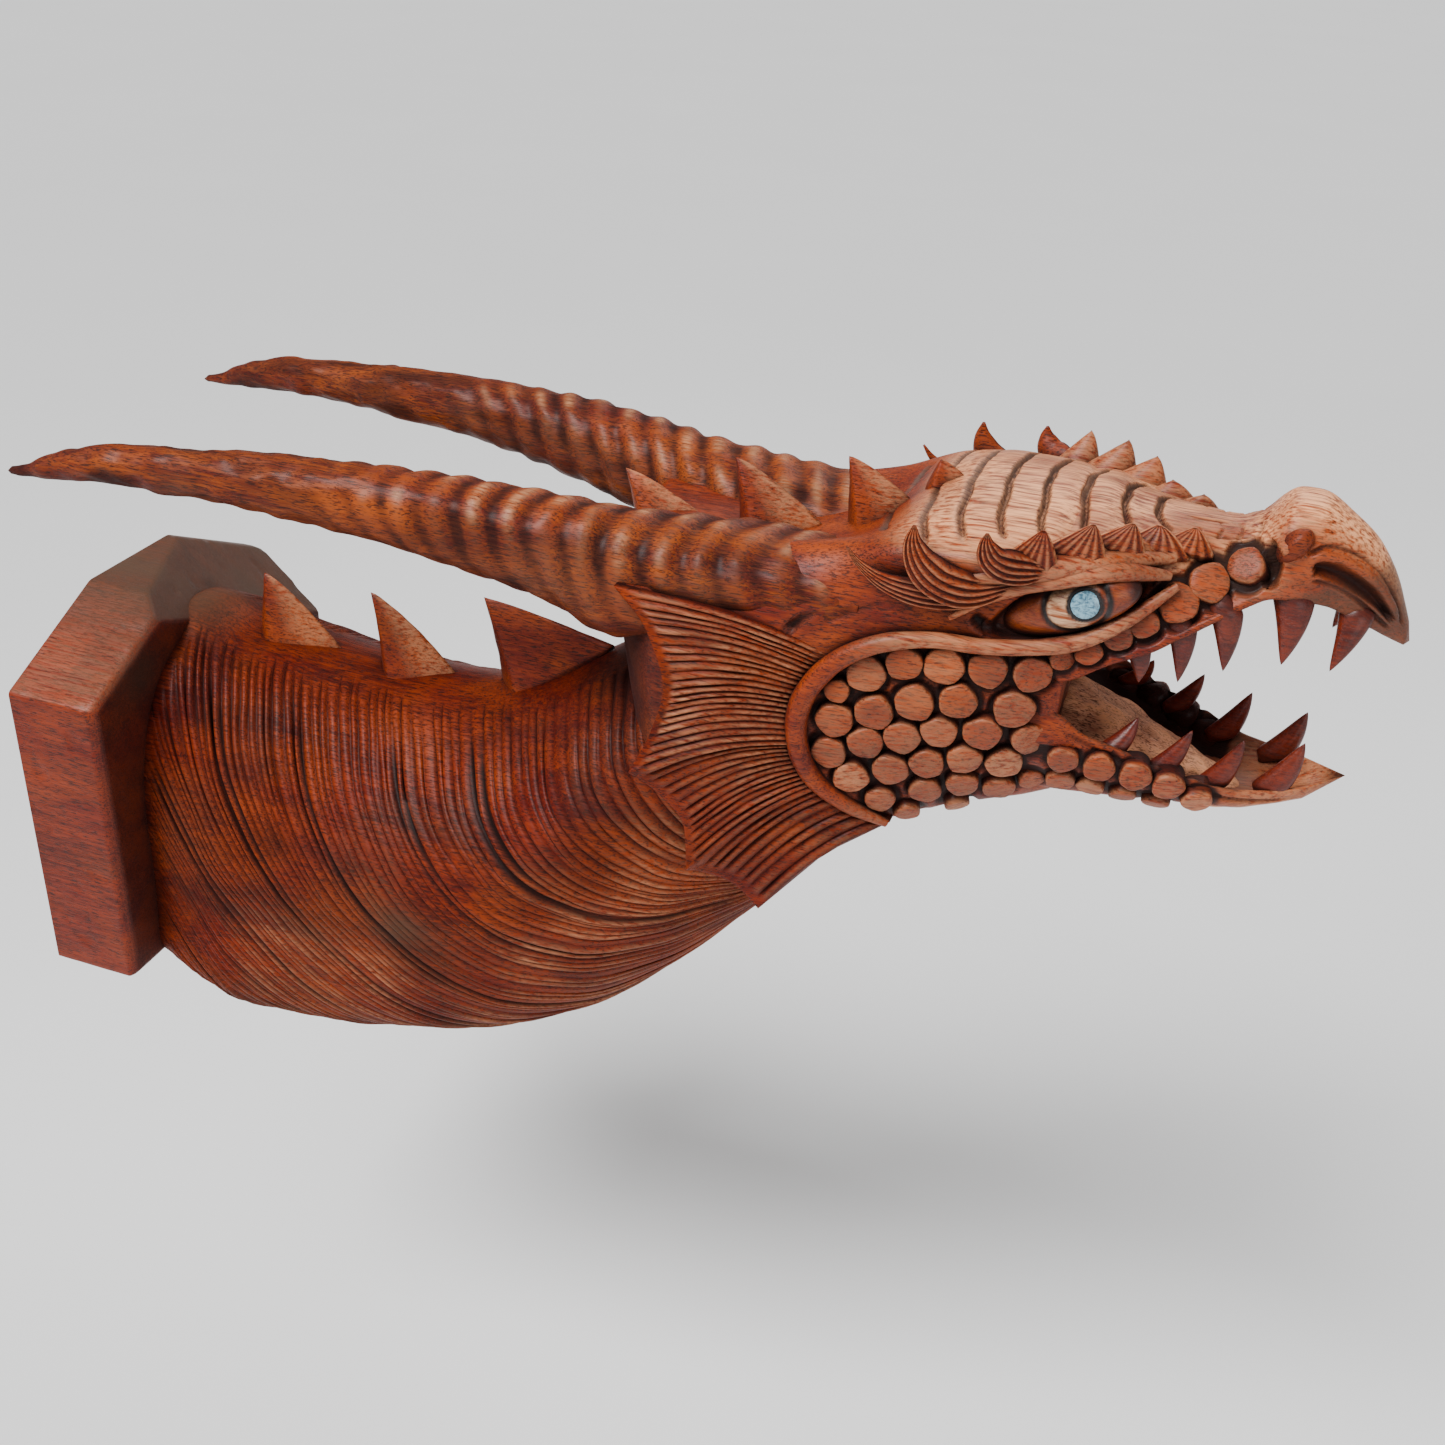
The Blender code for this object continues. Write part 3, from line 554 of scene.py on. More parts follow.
@dataclass(frozen=True)
class CarvedWood(Finish):
    """Varnished reddish hardwood with dark pores, with deep red stain and painted shade in its hollows."""

    light: Point = (0.250, 0.030, 0.001)
    # deep: the colour of the pores, and of the shade painted into hollows
    middle: Point = (0.085, 0.0044, 0.0004)
    deep: Point = (0.010, 0.0008, 0.0005)
    # bare: pale tan for wear, and for highlights painted on tops that face the light
    bare: Point = (0.960, 0.420, 0.190)
    # grey: for dust, and for painted shade and a painted cast shadow
    grey: Point = (0.075, 0.038, 0.021)
    warm: Point = (0.150, 0.006, 0.001)
    ember: Point = (0.480, 0.085, 0.003)
    # ink: black for inked lines, and for painted shade in the deepest cuts and holes
    ink: Point = (0.006, 0.0012, 0.0006)
    red: float = 0.5
    shine: float = 0.42
    gloss: float = 0.22
    coat: float = 0.10
    open_pores: float = 0.75
    glow: float = 0.26

    def mixed(self, sheet: Sheet) -> bpy.types.Material:
        """Lay grain, pores, wear and painted highlights, dust and painted shade, and painted shade in hollows
        and creases over each other.

        Args:
            sheet: The new material's nodes.

        Returns:
            The material.
        """
        where = sheet.place()
        bands = sheet.noise(where, (9, 75, 75), 4.0, 0.6, 0.6)
        lines = sheet.noise(where, (55, 900, 900), 3.0, 0.6)
        flecks = sheet.noise(where, (230, 2300, 2300), 2.0)
        patches = sheet.noise(where, (22, 30, 30), 2.0)
        tone = sheet.math("ADD", sheet.times(bands, 0.55), sheet.times(lines, 0.55))
        tone = sheet.ramp(sheet.math("ADD", tone, (self.red - 0.5) * 0.4), 0.40, 0.70)
        wood = sheet.mix(tone, self.light, self.middle)
        warm = sheet.mix(sheet.ramp(patches, 0.42, 0.66), wood, self.warm)
        wood = sheet.mix(0.30, wood, warm)
        embers = sheet.ramp(sheet.noise(where, (24, 38, 38), 2.0), 0.46, 0.64)
        wood = sheet.mix(sheet.times(embers, self.glow), wood, self.ember)
        pores = sheet.ramp(flecks, 0.53, 0.62)
        wood = sheet.mix(sheet.times(pores, self.open_pores), wood, self.deep)
        # Wear and painted highlight: rubbed crests and tops that face the light turn pale tan
        worn = sheet.times(sheet.layer("worn"), sheet.ramp(lines, 0.30, 0.62), True)
        wood = sheet.mix(worn, wood, self.bare)
        # Dust and painted shade: dusty places, shaded bevels and a cast shadow turn grey
        dust = sheet.times(sheet.layer("dust"), sheet.math("ADD", patches, 0.35), True)
        wood = sheet.mix(dust, wood, self.grey)
        # Painted shade: ambient occlusion darkens creases and the joins between pieces, on top of the shade
        # and stain painted into the hollows
        corner = sheet.add("ShaderNodeAmbientOcclusion", {"Distance": 0.007}, samples=6, only_local=False)
        shade = sheet.ramp(sheet.math("SUBTRACT", 1.0, corner.outputs["AO"]), 0.08, 0.70)
        depth = sheet.math("MAXIMUM", sheet.layer("hollow"), shade, True)
        wood = sheet.mix(sheet.times(depth, 0.93), wood, self.deep)
        # Ink lines, and painted shade in the deepest cuts and holes
        wood = sheet.mix(sheet.layer("ink"), wood, self.ink)
        rough = sheet.math("ADD", self.shine, sheet.times(depth, 0.40))
        rough = sheet.math("ADD", rough, sheet.times(lines, 0.18))
        relief = sheet.math("SUBTRACT", sheet.times(lines, 0.6), sheet.times(pores, 0.55))
        dents = sheet.add("ShaderNodeBump", {"Strength": 0.55, "Distance": 0.0005, "Height": relief})
        sheet.set(Base_Color=wood, Roughness=rough, Specular_IOR_Level=self.gloss, Coat_Weight=self.coat,
                  Coat_Roughness=0.28, Normal=dents.outputs[0])
        return sheet.material


@dataclass(frozen=True)
class Inlay(Finish):
    """Clouded blue-grey inlay under a polish."""

    name: str = "clouded_inlay"
    slot: str = "eye_inlay"
    pale: Point = (0.210, 0.400, 0.500)
    blue: Point = (0.035, 0.105, 0.160)

    def mixed(self, sheet: Sheet) -> bpy.types.Material:
        """Cloud the blue with pale veins.

        Args:
            sheet: The new material's nodes.

        Returns:
            The material.
        """
        where = sheet.place()
        cloud = sheet.noise(where, (420, 420, 900), 3.0, 0.6, 1.2)
        veins = sheet.noise(where, (900, 900, 300), 2.0, 0.5, 2.0)
        tone = sheet.ramp(sheet.math("ADD", sheet.times(cloud, 0.7), sheet.times(veins, 0.3)), 0.36, 0.62)
        sheet.set(Base_Color=sheet.mix(tone, self.blue, self.pale), Roughness=0.16, Coat_Weight=0.6,
                  Coat_Roughness=0.08)
        return sheet.material


BODY = CarvedWood("carved_hardwood")
MANE = CarvedWood("mane_hardwood", light=(0.200, 0.021, 0.001), middle=(0.052, 0.0020, 0.0003),
                  bare=(0.480, 0.185, 0.085), red=0.54, gloss=0.12, coat=0.05, glow=0.12)
HORN = CarvedWood("horn_hardwood", light=(0.270, 0.050, 0.002), middle=(0.085, 0.0060, 0.0004),
                  bare=(0.480, 0.210, 0.095), red=0.54, gloss=0.18, coat=0.08, glow=0.20)
TOOTH = CarvedWood("tooth_hardwood", light=(0.150, 0.017, 0.004), middle=(0.048, 0.0030, 0.0010),
                   shine=0.28, coat=0.3, open_pores=0.3, glow=0.0)
PLATE = CarvedWood("plate_hardwood", light=(0.200, 0.020, 0.001), middle=(0.070, 0.0040, 0.0003),
                   bare=(0.520, 0.210, 0.100), glow=0.12)
MOUTH = CarvedWood("mouth_hardwood", light=(0.760, 0.360, 0.200), middle=(0.420, 0.165, 0.090),
                   shine=0.6, coat=0.05, glow=0.0)
EYE = CarvedWood("eye_hardwood", light=(0.300, 0.065, 0.006), middle=(0.140, 0.018, 0.002),
                 bare=(0.62, 0.36, 0.20), shine=0.28, coat=0.35, open_pores=0.35)
INLAY = Inlay()


@dataclass
class Neck:
    """The thick neck and its mane of long tool strokes."""

    stations: tuple = (
        (20, 62, -75, 59, 0.18, 3.0, 7.0), (40, 62, -82, 60, 0.18, 3.0, 6.5),
        (60, 60, -92, 64, 0.15, 2.4, 5.5), (80, 59, -98, 68, 0.12, 2.0, 4.8),
        (120, 57, -99, 70, 0.08, 1.7, 3.8), (160, 58, -92, 70, 0.05, 1.65, 3.5),
        (200, 70, -81, 68, 0.03, 1.7, 3.2), (235, 95, -64, 64, 0.00, 1.9, 3.0),
        (265, 115, -38, 58, 0.00, 2.1, 2.7), (290, 125, -12, 52, -0.05, 2.2, 2.4),
        (320, 125, 24, 45, -0.10, 2.3, 2.3), (350, 118, 52, 34, -0.20, 2.3, 2.2),
    )
    start: float = 16.0
    end: float = 348.0
    pitch: float = 4.4
    depth: float = 2.3
    columns: int = 75
    drift: tuple = ((0, 0), (0.08, 4), (0.16, 12), (0.27, 24), (0.38, 43), (0.5, 70), (0.6, 96),
                    (0.7, 126), (0.85, 165), (1.0, 200))
    deep_strokes: tuple[float, ...] = (-60, -22, 8, 50, 88, 130, 168)
    profile: tuple = ((0.0, -1.0), (0.15, 0.05), (0.38, 0.85), (0.64, 1.0), (0.88, 0.35))
    seed: int = 11

    def section(self, count: int) -> Track:
        """Half sections of the neck, spaced evenly round it.

        Args:
            count: How many points from the top to the bottom.

        Returns:
            A track of (y, z) rows by distance from the wall.
        """
        table = np.array(self.stations, float)
        shape = Track(table[:, 0], table[:, 1:])
        a = np.linspace(0, 1, 1500)
        turn = np.unique(np.concatenate([a, 0.5 + np.sign(a - 0.5) * np.abs(2 * a - 1) ** 4 / 2,
                                         a ** 4, 1 - (1 - a) ** 4]))
        c, s = np.cos(math.pi * turn), np.abs(np.sin(math.pi * turn))
        xs = np.arange(self.start - 2, self.end + 3, 2.0)
        rows = []
        for x in xs:
            top, bottom, width, flare, upper, lower = shape(x)
            e = np.where(c > 0, 2 / upper, 2 / lower)
            y = width * s ** e * (1 - flare * c)
            z = (top + bottom) / 2 + (top - bottom) / 2 * np.sign(c) * np.abs(c) ** e
            y[0] = y[-1] = 0.0
            rows.append(even_spacing(np.stack([y, z], axis=1), count))
        return Track(xs, rows)

    def build(self) -> bpy.types.Object:
        """Lay every stroke round the neck, its cut and its crest.

        Returns:
            The neck and its mane.
        """
        rng = np.random.default_rng(self.seed)
        first = self.start - self.drift[-1][1]
        widths = []
        while sum(widths) < self.end - first:
            widths.append(self.pitch * rng.uniform(0.72, 1.3))
        edges = first + np.concatenate([[0.0], np.cumsum(widths)])
        starts, lift, number = [], [], []
        for i, wide in enumerate(widths):
            for share, height in self.profile:
                starts.append(edges[i] + wide * share)
                lift.append(height)
                number.append(i)
        starts, lift, number = (np.array(v, float)[:, None] for v in (starts, lift, number))
        half = self.columns
        u = np.arange(half + 1)[None] / half
        drift = Track(*zip(*self.drift))(u)
        room = np.clip((self.end - starts) / 200.0, 0, 1)
        along = starts + drift * room
        where = np.stack([number * 1.7 + 0 * u, u * 9 + 0 * number, 0 * u + 0 * number], axis=-1)
        along = along + 0.9 * ripple(where, 1.0, 3) * smooth(u, 0.1, 0.2)
        x = np.clip(along, self.start, self.end)
        section = self.section(half + 1)
        ring = section(x)
        yz = np.take_along_axis(ring, np.broadcast_to(
            np.arange(half + 1)[None, :, None, None], (len(starts), half + 1, 1, 2)), axis=2)[:, :, 0]
        power = rng.uniform(0.55, 1.25, len(widths))[number.astype(int)]
        begin = 0.055 + 0.035 * rng.random(len(widths))[number.astype(int)]
        fade = smooth(u - begin, 0.0, 0.03) * smooth(x, 42, 50)
        fade = fade * (0.8 + 0.35 * ripple(where, (1.0, 0.8, 1.0), 8))
        weak = (number.astype(int) % 3 == 1) * smooth(u, 0.45, 0.62)
        fade = fade * (1 - 0.75 * weak)
        deep = np.zeros_like(starts)
        for place in self.deep_strokes:
            nearest = int(np.argmin(np.abs(edges[:-1] - place)))
            brink = (number == nearest - 1) * (np.abs(lift - 0.35) < 0.01)
            deep += (number == nearest) * (lift < 0.5) + 0.6 * brink
        deep = deep * smooth(u, 0.12, 0.25) * (1 - 0.6 * smooth(u, 0.7, 0.9))
        height = lift * self.depth * 0.5 * power * fade - 1.6 * deep * fade
        skin_x = np.concatenate([x, x[:, -2:0:-1]], axis=1)
        skin_y = np.concatenate([-yz[..., 0], yz[:, -2:0:-1, 0]], axis=1)
        skin_z = np.concatenate([yz[..., 1], yz[:, -2:0:-1, 1]], axis=1)
        skin = Skin(np.stack([skin_x, skin_y, skin_z], axis=-1))

        def both(half_field: np.ndarray) -> np.ndarray:
            """A field on one half, repeated on the other."""
            return np.concatenate([half_field, half_field[:, -2:0:-1]], axis=1)

        base = skin.points
        radial = base - np.stack([skin_x, 0 * skin_x, 0 * skin_x
                                  + (skin_z[:, :1] + skin_z[:, half:half + 1]) / 2], axis=-1)
        radial /= np.maximum(np.linalg.norm(radial, axis=-1, keepdims=True), 1e-6)
        tall = both(height) + 0.5 * ripple(base, 26, 5) + 0.12 * fibres(base, 2)
        behind_fin = np.exp(-((skin_x - 238) / 22) ** 2 - ((skin_z - 92) / 18) ** 2)
        tall = tall - 4.0 * behind_fin
        roll = smooth(-skin_x, -64, -38) * smooth(skin_x, 20, 34) * np.clip(1 - (skin_y / 26) ** 2, 0, 1)
        roll = roll * smooth(skin_z, 30, 45)
        skin.points = base + radial * tall[..., None] + np.stack([0 * roll, 0 * roll, 6 * roll], axis=-1)
        # Painted shade and stain: the cuts are darkened, the strip under the fin's edge takes a painted
        # shadow, and dark patches are laid at random
        cut = both(np.clip((0.62 - lift) / 1.1, 0, 1) * fade * np.clip(power, 0.7, 1) + deep * fade)
        dark = 0.5 * smooth(ripple(base, (34, 30, 18), 37), 0.05, 0.6)
        skin.hollow = np.clip(cut * 0.95 + 0.75 * behind_fin + 0.7 * both(dark[:, :half + 1] * fade), 0, 1)
        # Ink and painted shade: the deepest strokes and the deepest parts of the cuts are near black
        skin.ink = np.clip(0.75 * both(deep * fade) + 0.6 * np.clip(cut - 0.55, 0, 1), 0, 1)
        # Painted light: the crests on the lower flank are paler, as the light falls there
        low = both(smooth(u, 0.32, 0.55)) * smooth(skin_x, 70, 110)
        crest = both(np.clip(lift, 0, 1) * fade)
        skin.worn = np.clip(crest * low * (0.40 + 0.5 * ripple(base, 22, 21)), 0, 0.65)
        stain = np.exp(-((skin_x - 165) / 16) ** 2 - ((skin_z + 20) / 9) ** 2)
        skin.dust = np.clip(stain + 0.9 * roll + 0.35 * crest * smooth(ripple(base, 30, 33), 0.1, 0.6), 0, 1)
        return skin.mesh("neck_and_mane", MANE, weld=True)


@dataclass
class BackPlate:
    """The plate that lies against the wall, cut square with eased corners."""

    thick: float = 40.0
    half_width: float = 80.5
    bottom: float = -78.0
    shoulder: float = 53.0
    top: float = 79.0
    top_half: float = 26.0
    edge: float = 3.0
    easing: float = 1.3
    mesh_edge: float = 3.4
    scoop_point: Point = (14.0, 80.5, 49.0)
    scoop_normal: Point = (0.645, 0.287, 0.708)

    def build(self) -> bpy.types.Object:
        """Cut the plate from a block, round its edges and leave tool marks.

        Returns:
            The plate.
        """
        outline = [(-self.half_width, self.bottom), (self.half_width, self.bottom),
                   (self.half_width, self.shoulder), (self.top_half, self.top),
                   (-self.top_half, self.top), (-self.half_width, self.shoulder)]
        middle = (self.top + self.bottom) / 2
        bm = bmesh.new()
        rings = []
        for x, inset in ((0.0, 0.0), (self.thick - self.edge, 0.0), (self.thick, self.edge)):
            rings.append([bm.verts.new((x * MM, y * (1 - inset / self.half_width) * MM,
                                        (middle + (z - middle) * (1 - inset / (self.top - middle))) * MM))
                          for y, z in outline])
        for low, high in zip(rings, rings[1:]):
            for k in range(6):
                bm.faces.new((low[k], low[(k + 1) % 6], high[(k + 1) % 6], high[k]))
        bm.faces.new(rings[0][::-1])
        bm.faces.new(rings[-1])
        geom = bm.verts[:] + bm.edges[:] + bm.faces[:]
        cut = bmesh.ops.bisect_plane(bm, geom=geom, dist=1e-6, plane_co=Vector(self.scoop_point) * MM,
                                     plane_no=Vector(self.scoop_normal), clear_outer=True)
        rim = [e for e in cut["geom_cut"] if isinstance(e, bmesh.types.BMEdge)]
        bmesh.ops.edgeloop_fill(bm, edges=rim)
        bmesh.ops.recalc_face_normals(bm, faces=bm.faces)
        back = [e for e in bm.edges if all(v.co.x < 1e-5 for v in e.verts)]
        front = [e for e in bm.edges if e not in back and e.calc_face_angle(0) > 0.2]
        bmesh.ops.bevel(bm, geom=front, offset=self.easing * MM, segments=3, profile=0.5, affect="EDGES")
        for _ in range(6):
            long_edges = [e for e in bm.edges if e.calc_length() > self.mesh_edge * MM]
            if not long_edges:
                break
            bmesh.ops.subdivide_edges(bm, edges=long_edges, cuts=1, use_grid_fill=False)
            bmesh.ops.triangulate(bm, faces=bm.faces)
        bm.normal_update()
        places = np.array([v.co for v in bm.verts]) / MM
        facing = np.array([v.normal for v in bm.verts])
        wave = 0.22 * ripple(places, 30, 41) + 0.12 * fibres(places, 42) + 0.10 * ripple(places, 6, 43)
        dents = -0.5 * smooth(ripple(places, (9, 9, 9), 44), 0.45, 0.8)
        move = (wave + dents) * smooth(places[:, 0], 0.2, 3.0)
        places = places + facing * move[:, None]
        faces = [[v.index for v in f.verts] for f in bm.faces]
        # Painted light: upward faces on the near side are paler where the light falls, upward faces on the
        # far side are greyed as a painted shadow, and the front face is darkened as painted shade. The spot
        # is a stain.
        upward = np.clip(facing[:, 2], 0, 1)
        side = smooth(places[:, 1], -62, -20)
        dust = smooth(upward, 0.35, 0.8) * side
        spot = np.exp(-((places[:, 1] + 52) / 12) ** 2 - ((places[:, 2] - 56) / 9) ** 2) * (places[:, 0] > 20)
        ink = 0.25 * spot + 0.3 * smooth(ripple(places, 7, 47), 0.55, 0.8) * smooth(-places[:, 2], 20, 60)
        shaded_front = smooth(facing[:, 0], 0.6, 0.95)
        layers = {"hollow": 0.55 * shaded_front, "worn": 0.22 * smooth(upward, 0.3, 0.8) * (1 - side),
                  "dust": np.clip(dust + spot, 0, 1), "ink": np.clip(ink, 0, 0.6)}
        bm.free()
        return make_piece("back_plate", places, faces, PLATE, layers, crease=50)


SKULL_SECTIONS = (
    (226, ((0, 132), (12, 132), (24, 132), (34, 124), (38, 110), (38, 95), (30, 80), (0, 72))),
    (236, ((0, 147), (16, 147), (32, 148), (46, 138), (50, 118), (50, 92), (42, 60), (0, 40))),
    (290, ((0, 149), (18, 150), (36, 156), (52, 142), (54, 118), (52, 84), (44, 50), (0, 28))),
    (320, ((0, 158), (20, 159), (40, 163), (50, 146), (51, 122), (50, 90), (43, 60), (0, 40))),
    (345, ((0, 176), (22, 176), (48, 170), (47, 156), (48, 138), (47, 102), (36, 62), (0, 51))),
    (365, ((0, 183), (24, 181), (50, 171), (44, 157), (45, 141), (45, 108), (32, 70), (0, 62))),
    (385, ((0, 184), (24, 181), (46, 172), (41, 158), (42, 142), (41, 112), (27, 76), (0, 68))),
    (398, ((0, 181), (20, 178), (38, 171), (36, 159), (37, 143), (36, 114), (22, 80), (0, 73))),
)
SNOUT_SECTIONS = (
    (386, ((0, 182), (22, 179), (42, 171), (39, 156), (40, 141), (38, 127), (0, 129))),
    (398, ((0, 184), (21, 181), (40, 174), (37, 159), (38.5, 142), (37.5, 129), (0, 132))),
    (410, ((0, 181), (17, 179), (33, 174), (33, 160), (35, 146), (35, 136), (0, 140))),
    (425, ((0, 180), (13, 178), (22, 173), (27, 163), (31, 152), (32, 144), (0, 149))),
    (440, ((0, 180), (10, 178), (17, 172), (23, 166), (26, 160), (27, 156), (0, 160))),
    (448, ((0, 183), (10, 181), (16, 176), (21, 170), (24, 165), (24, 161), (0, 165))),
    (457, ((0, 193), (10, 191), (17, 184), (20, 176), (22, 169), (21, 164), (0, 168))),
    (464, ((0, 193), (10, 191), (17, 184), (20, 176), (20, 169), (19, 164), (0, 167))),
    (474, ((0, 188), (9, 186), (15, 180), (17, 173), (16, 166), (14, 161), (0, 164))),
    (484, ((0, 181), (7, 179), (12, 173), (13, 166), (12, 160), (10, 156), (0, 158))),
    (493, ((0, 168), (4, 167), (7, 163), (8, 159), (7, 154), (5, 151), (0, 152))),
    (499, ((0, 155), (2, 154), (3, 152), (3, 151), (3, 149), (2, 148), (0, 148))),
)
JAW_SECTIONS = (
    (386, ((0, 100), (26, 108), (38, 118), (38, 98), (24, 78), (0, 70))),
    (398, ((0, 98), (26, 106), (37, 116), (36, 98), (22, 79), (0, 73))),
    (408, ((0, 93), (24, 99), (34, 109), (33, 96), (20, 79), (0, 75))),
    (419, ((0, 90), (22, 95), (31, 105), (31, 93), (18, 79), (0, 76))),
    (433, ((0, 87), (18, 90), (28, 100), (27, 90), (15, 79), (0, 77))),
    (447, ((0, 85), (14, 87), (25, 96), (23, 87), (12, 80), (0, 78))),
    (460, ((0, 84), (11, 86), (20, 93), (18, 86), (9, 80), (0, 79))),
    (470, ((0, 86), (8, 87), (16, 93), (14, 87), (6, 82), (0, 81))),
    (481, ((0, 90), (5, 91), (10, 94), (9, 90), (4, 86), (0, 85))),
)
TONGUE_SECTIONS = ((388, 100, 21, 16), (400, 99, 20, 16), (415, 96, 17, 14), (430, 92, 14, 11),
                   (445, 88, 10.5, 8), (456, 86, 7, 5), (463, 85, 3, 2))


def lofted(sections: tuple, step: float, columns: int) -> np.ndarray:
    """Points on the skin through half sections.

    Args:
        sections: Distance from the wall and half section at each station.
        step: Distance between rows in millimetres.
        columns: Points round each row.

    Returns:
        A grid of points.
    """
    xs = [s[0] for s in sections]
    halves = Track(xs, [s[1] for s in sections])
    rows = []
    for x in np.arange(xs[0], xs[-1] + step / 2, step):
        half = halves(min(x, xs[-1]))
        whole = np.concatenate([half, half[-2:0:-1] * (-1, 1)])
        ring = curve_through(whole, 24, closed=True)
        ring = even_spacing(np.concatenate([ring, ring[:1]]), columns + 1)[:-1]
        rows.append(np.column_stack([np.full(columns, min(x, xs[-1])), ring]))
    return np.array(rows)


def softened(grid: np.ndarray, times: int) -> np.ndarray:
    """The same skin with its rows eased into each other.

    Args:
        grid: Rows of points.
        times: How often they are eased.

    Returns:
        The new grid.
    """
    grid = grid.copy()
    for _ in range(times):
        grid[1:-1, :, 1:] = (grid[:-2, :, 1:] + 2 * grid[1:-1, :, 1:] + grid[2:, :, 1:]) / 4
    return grid


CROWN_BANDS = ((329.0, 34.0), (344.0, 47.0), (355.5, 45.0), (368.0, 42.0), (380.5, 39.0), (393.0, 33.0),
               (406.0, 24.0), (416.5, 15.0))


def crown_bands(points: np.ndarray) -> tuple[np.ndarray, np.ndarray, np.ndarray]:
    """The overlapping bands across the crown.

    Args:
        points: Places on the skin in millimetres.

    Returns:
        The height of the bands in millimetres, how far each place lies in a slit, where a shadow is painted,
        and how far on a bevel, which is painted grey as shading.
    """
    x, y, z = points[..., 0], np.abs(points[..., 1]), points[..., 2]
    drop, slit_shadow, bevel = (np.zeros_like(x) for _ in range(3))
    for place, wide in CROWN_BANDS:
        share = y / wide
        ahead = x - place - 5.0 * np.clip(share, 0, 1.2) ** 3 + 0.5 * np.sin(y / 4.0)
        fade = (1 - smooth(share, 0.88, 1.04)) * smooth(z, 158, 164)
        slope = np.clip((ahead + 2.3) / 2.1, 0, 1) * (ahead < 0)
        wall = np.clip(1 - ahead / 0.8, 0, 1) * (ahead >= 0)
        drop += -2.1 * (slope + wall) * fade
        slit_shadow = np.maximum(slit_shadow, fade * np.clip(1.25 - np.abs(ahead - 0.15) / 0.75, 0, 1))
        bevel = np.maximum(bevel, fade * np.clip((ahead + 2.4) / 0.5, 0, 1) * (ahead < -0.4))
    return drop, slit_shadow, bevel


def eye_socket(points: np.ndarray) -> tuple[np.ndarray, np.ndarray]:
    """How far each place lies inside the almond round the eyeball.

    Args:
        points: Places on the skin in millimetres.

    Returns:
        The sunk share and the dark share at its rim, from 0 to 1.
    """
    lean = math.radians(Eyes.tilt)
    ahead = points[..., 0] - Eyes.centre[0]
    above = points[..., 2] - Eyes.centre[2]
    along = ahead * math.cos(lean) + above * math.sin(lean)
    over = above * math.cos(lean) - ahead * math.sin(lean)
    reach = np.abs(along / 26.0) ** 1.6 + np.abs(over / 9.5) ** 1.8
    side = np.abs(points[..., 1]) > 15
    sunk = smooth(-reach, -1.15, -0.85) * side
    rim = smooth(reach, 0.62, 0.95) * smooth(-reach, -1.12, -0.98) * side
    return sunk, rim


